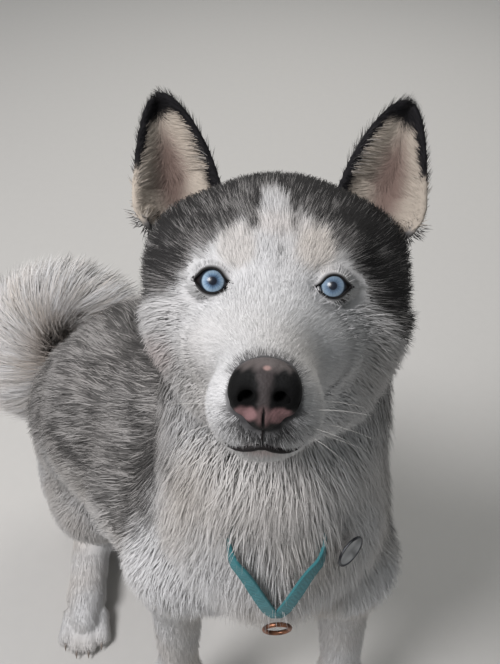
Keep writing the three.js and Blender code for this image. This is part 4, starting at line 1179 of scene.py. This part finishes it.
def make_nose():
    cell, corner = 0.6, np.array([19, 19, 17.0])
    values = on_grid(nose_field, [np.arange(-reach, reach, cell) for reach in corner])
    local, faces = surface(values, -corner, cell, 9.0, 0.0, 2)
    x, y, z = local.T
    fine = waver(local, make_waves(31, 5))
    pink = spot(x + 0.5 * fine, y, (-7.4, -7.6), (4.8, 3.4), 0.3)
    pink = pink + spot(x - 0.5 * fine, y, (7.2, -8.0), (4.9, 3.6), 0.3)
    tint = painted(
        repeated(linear(0.035, 0.034, 0.038), len(local)),
        # A paler strip down the middle; paler along the top, partly the leather's own tone and partly
        # painted light on the top that faces up; pink under the nostrils
        (linear(0.28, 0.255, 0.255),
         0.75 * ramp(np.abs(x) - 0.1 * y + 0.6 * fine, 4.4, 1.6) * ramp(y, -13, -9)),
        (linear(0.40, 0.37, 0.365), 0.8 * ramp(y + 0.8 * fine, 9.0, 13.5)),
        (linear(0.56, 0.43, 0.435), 0.9 * pink * ramp(z, -4, 1)),
        (linear(0.42, 0.33, 0.33), 0.7 * spot(x, y, (0, -8.5), (3.5, 4), 0.5) * ramp(z, 0, 4)),
        (linear(0.66, 0.54, 0.52), 0.8 * spot(x, y, (0.6, 11.6), (1.5, 0.9), 0.5)))
    gloss = np.ones(len(local))
    for side in (1, -1):
        # Round each nostril the wing is painted darker and matte, partly the leather's own black and
        # partly painted shade; inside the hole it is darker still, painted shade
        around = spot(x + 0.3 * fine, y, (side * 9.4, 1.4), (7.0, 6.4), 0.5)
        inside = ramp(nostril(local, side) + 0.4 * fine, 2.6, 0.2)
        tint = painted(tint, (BLACK * 0.6, 0.85 * around), (BLACK * 0.2, inside))
        gloss = np.minimum(gloss, (1 - 0.6 * around) * (1 - inside))
    # The groove is painted darker: painted shade in the crease
    tint = mixed(tint, BLACK * 0.5, ramp(nose_groove(local), 0.35, 0.0))
    points = on_head(*(local + NOSE_MIDDLE).T)
    piece = bare_piece("nose_leather", points, faces, tint, nose_look, "nose", gloss=gloss)


def onto_skin(points):
    """Moves points onto the head's skin, straight out of it."""
    for _ in range(6):
        value = bare_skull(points)
        step = 0.5
        slope = np.stack([bare_skull(points + step * np.eye(3)[i]) - value for i in range(3)], 1) / step
        points = points - value[:, None] * slope / np.maximum((slope ** 2).sum(1), 0.1)[:, None]
    return points, unit(slope)


def tube(path, radii, steps):
    """A tapered tube along a path, closed at both ends."""
    along = unit(np.gradient(path, axis=0))
    side = unit(np.cross(along, np.array([0.1, 0.2, 0.97])))
    over = np.cross(side, along)
    turn = full_turn(steps)[:, None]
    return ring_mesh([place + radius * (np.cos(turn) * s + np.sin(turn) * o)
                      for place, radius, s, o in zip(path, radii, side, over)])


def smooth_path(marks, count):
    return evenly(centripetal([np.array(m, float) for m in marks], 16), count)


def joined(parts):
    points, faces, start = [], [], 0
    for p, f in parts:
        points.append(p)
        faces.append(f + start)
        start += len(p)
    return np.vstack(points), np.vstack(faces)


# The line of the lips from the left corner to the middle, in the head's frame
MOUTH = [
    (33, -57, 8), (31, -58, 24), (26, -60, 46), (19, -62.5, 61), (11, -64.6, 70), (4, -64.8, 74),
    (0, -63.8, 75),
]
mouth_marks = MOUTH + [(-x, up, out) for x, up, out in MOUTH[-2::-1]]
mouth_path, mouth_normals = onto_skin(smooth_path([on_head(*m) for m in mouth_marks], 60))


def make_lips():
    share = np.linspace(-1, 1, len(mouth_path))
    radii = 0.2 + 1.3 * ramp(np.abs(share), 0.21, 0.06)
    path = mouth_path + mouth_normals * (1.5 * ramp(np.abs(share), 0.23, 0.13) - 0.9)[:, None]
    lip = tube(path, radii, 8)
    groove_marks = [(0.4, -57, 84), (0.2, -60, 82), (0, -62, 79), (0, -63.8, 76)]
    groove, normals = onto_skin(smooth_path([on_head(*mark) for mark in groove_marks], 10))
    philtrum = tube(groove + normals * 0.3, np.linspace(0.7, 0.3, 10), 6)
    bare_piece("lips", *joined([lip, philtrum]), linear(0.085, 0.07, 0.072), lid_look)
    return groove


def make_claws():
    parts = []
    for leg in forelegs + hind_legs:
        for bulk in paw_bulks(leg)[1:]:
            marks = [bulk[2] + leg["heading"] * ahead + np.array([0, 0, rise])
                     for ahead, rise in ((6, 2.0), (12, 1.0), (14.5, -1.5), (16, -5.0))]
            parts.append(tube(smooth_path(marks, 9), np.linspace(2.2, 0.35, 9), 10))
    points, faces = joined(parts)
    tint = mixed(linear(0.50, 0.46, 0.43), linear(0.62, 0.56, 0.50), ramp(points[:, 2], 6, 1))
    bare_piece("claws", points, faces, tint, claw_look)


def make_whiskers():
    source = np.random.default_rng(77)
    parts = []
    for side in (1, -1):
        for row in range(3):
            for step in range(2 if side > 0 else 1):
                root = on_head(side * (15 + 2.2 * row), -56 - 5 * row + step, 74 - 9 * step)
                root, normal = onto_skin(root[None])
                root, normal = root[0], normal[0]
                aim = normal * 0.9 + left * side * 0.75 - forward * 0.25
                aim = unit(aim + upward * source.uniform(-0.35, 0.1))
                size = source.uniform(16, 32)
                droop = down * size * source.uniform(0.10, 0.22)
                marks = [root - normal, root + aim * size * 0.35,
                         root + aim * size * 0.7 + droop * 0.4, root + aim * size + droop]
                parts.append(tube(smooth_path(marks, 9), np.linspace(0.10, 0.03, 9), 5))
    bare_piece("whiskers", *joined(parts), linear(0.86, 0.85, 0.83), whisker_look)


make_eye("eye_left", 1)
make_eye("eye_right", -1)
make_nose()
philtrum_path = make_lips()
make_claws()
make_whiskers()
lid_parts = [make_lids(side) for side in (1, -1)]


# What the dog wears: a webbing collar in a V on the breast, a ring at its point and a blank tag
STRAP_HALF, STRAP_THICK = 5.0, 1.5
# The V: the neck's radius, the radius of its point, its slope, how far it spreads and dips, how deep
# the strap lies in the hair round the neck, and how far the V's arms bow out over what distance
V_ROUND, V_BEND, V_SLOPE = 85, 5, math.radians(62)
V_SPREAD, V_DIP, V_BURIED = 0.32, 66, 26
V_BOW, V_BOW_REACH = 13, 32
STRAP_STEPS = 560
RING_RADIUS, RING_WIRE = 9, 1.6
TAG_HALF_WIDTH, TAG_HALF_HEIGHT = 12, 8.5


def rise_of_v(distance):
    arc = V_BEND * math.sin(V_SLOPE)
    low = V_BEND - np.sqrt(np.maximum(V_BEND ** 2 - distance ** 2, 0))
    straight = V_BEND * (1 - math.cos(V_SLOPE)) + (distance - arc) * math.tan(V_SLOPE)
    bow = V_BOW * np.sin(np.pi * np.clip(distance / V_BOW_REACH, 0, 1))
    return np.where(distance < arc, low, straight) + bow


def strap_path(turn):
    """Places on the collar's middle line, with the ways across and out of it."""
    aside = np.abs(turn)
    rise = smooth_min(rise_of_v(aside * V_ROUND), V_DIP, 24) + 26 * (1 - np.cos(turn))
    out = np.stack([np.sin(turn), -np.cos(turn), 0 * turn], 1)
    depth = V_BURIED - (V_BURIED + 1.5) * (1 - ramp(aside, V_SPREAD * 0.8, V_SPREAD * 1.6))
    path = stance(8, 10, 531 - V_DIP) + rise[:, None] * np.array([0, 0, 1.0])
    for _ in range(24):
        path = path - out * ((coat_tips(path) + depth) * 0.8)[:, None]
    along = unit(np.roll(path, -1, 0) - np.roll(path, 1, 0))
    across = unit(np.cross(along, out + np.array([0, 0, -0.2])))
    return path, across, unit(np.cross(across, along))


def make_strap():
    share = (np.arange(STRAP_STEPS) + 0.5) / (STRAP_STEPS / 2) - 1
    turn = np.pi * np.sign(share) * np.abs(share) ** 1.5
    path, across, out = strap_path(turn)
    cosine, sine = np.cos(full_turn(40)), np.sin(full_turn(40))
    wide = np.sign(cosine) * np.abs(cosine) ** 0.5
    thick = np.sign(sine) * np.abs(sine) ** 0.6
    length = np.cumsum(np.linalg.norm(np.diff(path, axis=0, prepend=path[:1]), axis=1))
    # Twill: ridges run slantwise over the webbing, and its edges are bound
    slant = np.sin(2 * np.pi * (length[:, None] / 2.2 + wide[None] * STRAP_HALF / 3.0))
    bound = ramp(np.abs(wide), 0.80, 0.88)[None]
    relief = 0.14 * slant * (1 - bound) + 0.30 * bound
    rows = (path[:, None] + across[:, None] * (wide * STRAP_HALF)[None, :, None]
            + out[:, None] * (thick[None] * (STRAP_THICK - 0.3 + relief))[..., None])
    points, faces = ring_mesh(rows, closed_rows=True)
    # The webbing is darker between its ridges: painted shade in the twill's hollows
    between = (0.35 - 0.35 * slant * (1 - bound)).ravel()
    tint = mixed(linear(0.25, 0.50, 0.525), linear(0.13, 0.33, 0.36), between)
    tint = tint * (1 + 0.08 * waver(points, make_waves(41, 9)))[:, None]
    piece = bare_piece("collar_strap", points, faces, tint, strap_look, "collar")


def on_breast(x, z, clear, spin):
    """A frame that lies on the breast: its place, and its sideways, upward and outward ways."""
    place = stance(x, -200, z)
    for _ in range(48):
        place[1] += (coat_tips(place[None])[0] - clear) * 0.8
    steps = np.eye(3) * 6
    out = unit(coat_tips(place + steps) - coat_tips(place - steps))
    side = unit(np.cross([0, 0, 1.0], out))
    up = np.cross(out, side)
    a = math.radians(spin)
    return place, side * math.cos(a) + up * math.sin(a), up * math.cos(a) - side * math.sin(a), out


def make_ring():
    place, side, up, out = on_breast(9, 447, 4, 0)
    turn, wire = full_turn(72)[:, None, None], full_turn(20)[None, :, None]
    reach = RING_RADIUS + RING_WIRE * np.cos(wire)
    rows = place + side * reach * np.cos(turn) + up * reach * np.sin(turn)
    rows = rows + out * RING_WIRE * np.sin(wire)
    points, faces = ring_mesh(rows, closed_rows=True)
    worn = 0.5 + 0.5 * waver(points, make_waves(43, 7))
    tint = mixed(linear(0.62, 0.43, 0.33), linear(0.34, 0.24, 0.20), worn)
    piece = bare_piece("neck_ring", points, faces, tint, ring_look, "collar_ring")


# The tag's face, raised rim, edge and back: (share of the outline, height)
TAG_PROFILE = [
    (0.05, 0.45), (0.45, 0.45), (0.80, 0.45), (0.85, 0.55), (0.88, 0.85), (0.94, 0.90), (0.98, 0.75),
    (1.0, 0.4), (1.0, -0.5), (0.97, -0.8), (0.5, -0.8), (0.05, -0.8),
]


def make_tag():
    place, side, up, out = on_breast(57, 509, 1.2, 40)
    turn = full_turn(96)
    loop = side * np.cos(turn)[:, None] * TAG_HALF_WIDTH + up * np.sin(turn)[:, None] * TAG_HALF_HEIGHT
    points, faces = ring_mesh([place + loop * share + out * height for share, height in TAG_PROFILE])
    share = np.append(np.repeat([share for share, _ in TAG_PROFILE], len(turn)), [0, 0])
    tint = painted(linear(0.66, 0.67, 0.68), (linear(0.20, 0.20, 0.22), ramp(share, 0.80, 0.88)),
                   (linear(0.40, 0.41, 0.42), 0.3 + 0.4 * waver(points, make_waves(44, 8))))
    piece = bare_piece("neck_tag", points, faces, tint, tag_look, "tag")


strap_look = tint_material("webbing", 1500.0, 0, Specular_IOR_Level=0.2, Roughness=0.85,
                           Sheen_Weight=0.2)
ring_look = tint_material("copper_ring", 500.0, 0, Specular_IOR_Level=0.5, Roughness=0.38,
                          Metallic=0.85)
tag_look = tint_material("tag_metal", 350.0, 0, Specular_IOR_Level=0.5, Roughness=0.42, Metallic=0.7)
make_strap()
make_ring()
make_tag()


# Tufts: closed locks, three-sided, bent along the skin
def scatter(points, faces, per_area):
    """Random places on the skin's triangles; per_area gives tufts for each square millimetre."""
    a, b, c = corners_of(points, faces)
    area = np.linalg.norm(np.cross(b - a, c - a), axis=1) / 2
    wanted = area * per_area
    counts = np.floor(wanted + rng.random(len(wanted))).astype(int)
    face = np.repeat(np.arange(len(faces)), counts)
    r1, r2 = np.sqrt(rng.random(len(face))), rng.random(len(face))
    weights = np.stack([1 - r1, r1 * (1 - r2), r1 * r2], 1)
    return face, weights


def nearest_leader(roots, leaders):
    """For each root, the number of the leading tuft that stands nearest to it."""
    tree = KDTree(len(leaders))
    for index, leader in enumerate(leaders):
        tree.insert(roots[leader], index)
    tree.balance()
    return np.array([tree.find(root)[1] for root in roots])


def clumped(roots, tips, size, pull):
    """Draws tips together in locks: each towards the tip of a leading tuft near its root."""
    leaders = rng.permutation(len(roots))[:max(1, int(len(roots) / size))]
    leading = leaders[nearest_leader(roots, leaders)]
    return tips + (tips[leading] - tips) * pull


def lock_values(roots):
    """A random value for each tuft that it shares with its nearest neighbours."""
    leaders = rng.permutation(len(roots))[:len(roots) // 10]
    values = rng.random(len(leaders))
    return values[nearest_leader(roots, leaders)]


# A tuft's middle: three corners, (aside, out of the coat), in widths
RING = np.array([[-0.5, 0.0], [0.5, 0.0], [0.0, 0.45]])
LOCK_FACES = np.array([[1, 2, 4], [2, 3, 4], [3, 1, 4], [2, 1, 0], [3, 2, 0], [1, 3, 0]])
SPIKE_FACES = np.array([[0, 2, 1], [0, 1, 3], [1, 2, 3], [2, 0, 3]])
# Where a tuft's corners lie in its own small patch of the baked picture, and the patch's size
SPREAD = np.array([[0, -1], [-1, -0.2], [1, -0.2], [0, 0.2], [0, 1]])
PATCH = 0.0015


def tuft_faces(long):
    return LOCK_FACES if long else SPIKE_FACES


def make_tufts(name, tufts, row):
    """Long tufts run from a root over a three-cornered middle to the tip; short ones are spikes."""
    long = row["long"]
    roots, normals, tangents = tufts["roots"], tufts["normals"], tufts["tangents"]
    side = unit(np.cross(normals, tangents))
    length, height, width = (tufts[key][:, None] for key in ("length", "height", "width"))
    bend = rng.normal(size=(len(roots), 1)) * length * 0.04
    start = roots - normals * (0.8 + 0.04 * length)
    tip = clumped(roots, roots + tangents * length + normals * height, row["clump"], row["pull"])
    middle = roots + (tip - roots) * 0.40 + normals * (height * 0.30) + side * bend
    centre = middle if long else start
    ring = [centre + side * width * across + normals * width * rise for across, rise in RING]
    rows = [start] * long + ring + [tip]
    faces = (np.arange(len(roots))[:, None, None] * len(rows) + tuft_faces(long)[None]).reshape(-1, 3)
    piece = mesh_from_arrays(name, np.stack(rows, 1).reshape(-1, 3), faces)

    tints = [tufts["root"]] * long + [tufts["middle" if long else "root"]] * 3 + [tufts["tip"]]
    set_tint(piece, np.stack(tints, 1).reshape(-1, 3))
    facing = unit(normals + tufts["tilt"])
    round_it = [unit(facing * 0.75 + side * across * 0.9 + normals * rise * 0.4) for across, rise in RING]
    smooth = np.stack([facing] * long + round_it + [unit(facing + tangents * 0.25)], 1).reshape(-1, 3)
    piece.data.normals_split_custom_set_from_vertices([tuple(n) for n in smooth.tolist()])

    place = unwrap(roots, tufts["bulk"], tufts["head"] > 0.5)
    spread = SPREAD[0 if long else 1:] * PATCH
    corner = (place[:, None, :] + spread[None]).reshape(-1, 2)[faces.ravel()]
    layer = piece.data.uv_layers.new(name="OFBake")
    layer.data.foreach_set("uv", corner.astype(np.float32).ravel())
    piece.data.materials.append(coat_look)
    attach(piece, "root")


def unwrap(points, bulks, head):
    """Where roots lie in the baked picture: a tile for each bulk, angle round its axis by length."""
    place = np.zeros((len(points), 2))
    keys = np.where(head, -1, bulks)
    kinds = np.unique(keys)
    rows = int(math.ceil(math.sqrt(len(kinds))))
    for tile, key in enumerate(kinds):
        here = keys == key
        if key < 0:
            start, end = on_head(0, 0, -110), on_head(0, -40, 95)
        else:
            start, _, end, *_ = all_bulks[key]
        axis = unit(end - start)
        across = unit(np.cross(axis, np.array([0.31, 0.2, 0.93])))
        offset = points[here] - start
        angle = np.arctan2(offset @ np.cross(axis, across), offset @ across) / (2 * np.pi) + 0.5
        along = offset @ axis
        along = (along - along.min()) / max(np.ptp(along), 1)
        corner = np.array([tile % rows, tile // rows]) / rows
        place[here] = corner + (0.02 + 0.96 * np.stack([angle, along], 1)) / rows
    return place


# The coat by regions: cover is how many tufts lie over each other; reach, width and lift size a tuft;
# clump tufts make a lock and pull draws their tips together; stray is how far they part from the lie;
# shade darkens the roots; long tufts are bent locks, the others spikes.
COLUMNS = ("cover", "reach", "width", "lift", "clump", "pull", "stray", "shade", "long")
REGIONS = {name: dict(zip(COLUMNS, row)) for name, row in {
    "muzzle": (2.4, 0.85, 0.44, 0.6, 4, 0.12, 0.12, 0.86, 0),
    "brow": (3.2, 0.95, 0.42, 0.6, 5, 0.15, 0.11, 0.88, 0),
    "cheeks": (4.0, 0.85, 0.52, 1.0, 6, 0.22, 0.15, 0.88, 1),
    "crown": (4.4, 1.1, 0.52, 0.85, 5, 0.2, 0.14, 0.8, 1),
    "ears": (2.3, 1.0, 0.55, 1.0, 4, 0.2, 0.11, 0.8, 0),
    "ruff": (7.2, 0.95, 0.6, 0.9, 8, 0.30, 0.16, 0.98, 1),
    "chest": (5.0, 1.1, 0.66, 0.95, 8, 0.30, 0.16, 0.98, 1),
    "nape": (3.7, 0.95, 0.75, 1.0, 7, 0.28, 0.16, 0.8, 1),
    "back": (2.2, 1.0, 0.8, 0.9, 7, 0.28, 0.15, 0.8, 1),
    "rump": (1.75, 1.0, 0.92, 0.9, 7, 0.28, 0.15, 0.8, 1),
    "shoulders": (3.0, 1.0, 0.75, 0.9, 7, 0.28, 0.15, 0.86, 1),
    "belly": (1.6, 1.1, 1.6, 0.9, 6, 0.3, 0.18, 0.8, 1),
    "thighs": (2.4, 1.0, 0.75, 0.75, 7, 0.28, 0.15, 0.86, 1),
    "forelegs": (1.2, 1.1, 0.9, 0.6, 5, 0.25, 0.15, 0.88, 0),
    "hindlegs": (1.3, 1.1, 0.9, 0.6, 5, 0.25, 0.15, 0.88, 0),
    "tail": (5.5, 1.25, 0.80, 1.1, 8, 0.30, 0.20, 0.86, 1),
}.items()}
REGION_INDEX = {name: index for index, name in enumerate(REGIONS)}
# The most triangles in a piece, tufts on each square millimetre of the lids, and how far a tip may
# pass the CAD model's box
PIECE_LIMIT, LID_COVER, TIP_LIMIT = 190000, 2.2, 12
# A tuft's length: where the coat has no depth, for each millimetre of depth, and on the ears
HAIR_LEAST, HAIR_FOR_DEPTH, HAIR_ON_EAR = 2.5, 1.7, 9.0


def region_of(points, coat, on_ears):
    """The index of the region that each point of the skin is in."""
    _, up, out = in_head(points).T
    front_part = np.where(out > 4, "muzzle", np.where(up > -12, "brow", "cheeks"))
    head_part = np.where(out > -52, front_part, np.where(up > -6, "crown", "cheeks"))
    names = np.where(coat["head"] > 0.5, head_part, np.array(bulk_regions)[coat["bulk"]])
    names = np.where(on_ears, "ears", names)
    return np.array([REGION_INDEX[name] for name in names])


def setting(regions, key):
    return np.array([row[key] for row in REGIONS.values()], float)[regions]


def coat_length(depth, regions):
    length = (HAIR_LEAST + HAIR_FOR_DEPTH * depth) * setting(regions, "reach")
    return np.where(regions == REGION_INDEX["ears"], HAIR_ON_EAR, length)


def bare_places(points):
    """Roots that would stand in an eye, on the nose leather or on the lips."""
    local = in_head(points)
    bare = np.zeros(len(points), bool)
    for side in (1, -1):
        reach = (local[:, :2] - np.array([side * (EYE_SPACING / 2 + 1), -1])) / SOCKET
        bare |= (np.hypot(*reach.T) < 1.08) & (local[:, 2] > -30)
    bare |= nose_field(local - NOSE_MIDDLE) < 0.1
    for path, gap in ((mouth_path[25:35], 1.2), (philtrum_path[:5], 0.7)):
        bare |= nearest(points, path)[1] < gap
    return bare


def ears_of(points):
    ear = ear_places(points)
    return ear, (ear["gap"] < 5) & (ear["up"] > 0.16)


def on_faces(weights, corners, values):
    return np.einsum("ni,nij->nj", weights, values[corners])


def grow_roots():
    """The tufts' roots, the skin's normals there, and which of them are on the lids."""
    middle = skin_points[skin_faces].mean(1)
    places = {key: skin_coat[key][skin_faces].mean(1) for key in ("depth", "head")}
    places["bulk"] = skin_coat["bulk"][skin_faces[:, 0]]
    regions = region_of(middle, places, ears_of(middle)[1])
    length = coat_length(places["depth"], regions)
    per_area = setting(regions, "cover") / (0.5 * length * setting(regions, "width"))
    # None under the feet
    facing = skin_normals[skin_faces].mean(1)
    per_area[(middle[:, 2] < 4) & (facing[:, 2] < -0.5)] = 0
    chosen, weights = scatter(skin_points, skin_faces, per_area)
    roots = on_faces(weights, skin_faces[chosen], skin_points)
    normals = unit(on_faces(weights, skin_faces[chosen], skin_normals))
    bare = bare_places(roots)
    roots, normals = roots[~bare], normals[~bare]
    on_skin = len(roots)
    for lid_points, faces, lid_normals in lid_parts:
        chosen, weights = scatter(lid_points, faces, np.full(len(faces), LID_COVER))
        roots = np.vstack([roots, on_faces(weights, faces[chosen], lid_points)])
        normals = np.vstack([normals, unit(on_faces(weights, faces[chosen], lid_normals))])
    return roots, normals, np.arange(len(roots)) >= on_skin


def shape_tufts(tufts, regions, ear, is_ear):
    """Each tuft's way along the skin, its length, its width, and how high its tip stands."""
    roots, normals, count = tufts["roots"], tufts["normals"], len(regions)
    drift = np.stack([waver(roots, make_waves(20 + i, 46)) for i in range(3)], 1)
    lie = unit(np.where(is_ear[:, None], ear["lie"], tufts["lie"]))
    # The brush fans out from the middle of its curl
    along_tail, inward = tail_places(roots, normals)
    fan = ramp(along_tail, 0.12, 0.35) * (regions == REGION_INDEX["tail"])
    lie = lie + (1.4 * fan)[:, None] * unit(roots - curl_centre)
    lie = lie + 0.14 * drift + setting(regions, "stray")[:, None] * rng.normal(size=(count, 3))
    tangents = unit(lie - (lie * normals).sum(1)[:, None] * normals)
    length = coat_length(tufts["depth"], regions) * rng.uniform(0.72, 1.15, count)
    in_ear = is_ear & (ear["front"] > 0)
    length *= np.where(is_ear, np.interp(ear["up"], [0.2, 0.35, 0.6, 1], [0.6, 1, 0.9, 0.55]), 1)
    length *= 1 + 0.5 * (in_ear & (ear["turn"] < 0.4))
    beside_ear = ramp(ear["gap"], 18, 8) * (ear["up"] < 0.35)
    length *= 1 - 0.45 * beside_ear
    width = setting(regions, "width") * rng.uniform(0.75, 1.2, count)
    height = tufts["depth"] * setting(regions, "lift") * rng.uniform(0.3, 1.0, count) ** 0.8 + 0.25
    into_curl = ramp(inward, 0.3, 0.8) * fan
    height *= 1 + 1.6 * into_curl
    height = np.where(is_ear, np.where(in_ear, 2.5, 1.5), height)
    height = np.minimum(height, length * (0.6 + 0.6 * into_curl))
    height *= 1 - 0.6 * beside_ear
    # Some hair lies over the strap
    strap = strap_path(np.linspace(-0.7, 0.7, 60))[0]
    ends = roots + tangents * length[:, None] * 0.7 + normals * height[:, None]
    height += 9 * (rng.random(count) < 0.45) * (nearest(ends, strap)[1] < 12)
    tufts.update(tangents=tangents, length=length, width=width, height=height)


def colour_tufts(tufts, regions, on_lids):
    """The colours of each tuft's root, middle and tip."""
    roots, head, count = tufts["roots"], tufts["head"], len(regions)
    # The markings are read where a tuft shows, which is nearer its tip
    shown = roots + tufts["tangents"] * tufts["length"][:, None] * 0.8
    light, dark = markings(shown, tufts["normals"], head)
    dark = np.where(on_lids, np.minimum(dark, 0.15), dark)
    # Banded hair: each tuft is either dark tipped or mostly light
    shared = lock_values(roots)
    share_it = rng.random(count) < 0.75 - 0.4 * head
    dark_tipped = np.where(share_it, shared, rng.random(count)) < dark * 1.05
    strength = np.interp(dark, [0.3, 0.8], [0.64, 0.90]) + rng.uniform(0, 0.08, count)
    dark = np.where(dark_tipped, strength, rng.uniform(0, 0.2, count) * (dark > 0.03))
    light = light * (1 + rng.normal(size=count) * 0.05 + 0.10 * (lock_values(roots) - 0.5))[:, None]
    deep = 0.45 + 0.45 * head
    # Roots, and less so the middles, are darker than the tips: painted shade down in the coat
    tufts["root"] = mixed(light * setting(regions, "shade")[:, None], CHARCOAL, dark * deep)
    tufts["middle"] = mixed(light * 0.95, BLACK, dark * (0.45 + 0.5 * deep))
    tufts["tip"] = mixed(light * 1.04, BLACK, dark)


def shorten_tufts(tufts):
    """Keeps the tips from reaching far beyond the dog's outline or below the floor."""
    length, height = tufts["length"], tufts["height"]
    tips = tufts["roots"] + tufts["tangents"] * length[:, None] + tufts["normals"] * height[:, None]
    outline = np.array([list(corner) for corner in cad_box]) / MM
    beyond = np.maximum(tips - outline[1], outline[0] - tips).max(1)
    tufts["length"] = np.maximum(length - np.maximum(beyond - TIP_LIMIT, 0) * 1.5, length * 0.4)
    tufts["height"] = np.where((tips[:, 2] < 1) | (beyond > TIP_LIMIT), height * 0.5, height)


def grow_coat():
    roots, normals, on_lids = grow_roots()
    tufts = {"roots": roots, "normals": normals, **coat_places(roots)}
    ear, is_ear = ears_of(roots)
    regions = region_of(roots, tufts, is_ear)
    shape_tufts(tufts, regions, ear, is_ear)
    colour_tufts(tufts, regions, on_lids)
    shorten_tufts(tufts)
    tufts["tilt"] = rng.normal(size=(len(roots), 3)) * 0.16
    for name, row in REGIONS.items():
        here = np.nonzero(regions == REGION_INDEX[name])[0]
        # A region with too many tufts for one piece is parted by height
        parts = math.ceil(len(here) * len(tuft_faces(row["long"])) / PIECE_LIMIT)
        for part, here in enumerate(np.array_split(here[np.argsort(roots[here, 2])], parts)):
            label = "coat_" + name + ("_" + str(part + 1) if parts > 1 else "")
            make_tufts(label, {key: values[here] for key, values in tufts.items()}, row)


grow_coat()

flesh = [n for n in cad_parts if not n.startswith(("eye", "nose", "collar", "tag"))]
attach(skin, "root")
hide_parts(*flesh)
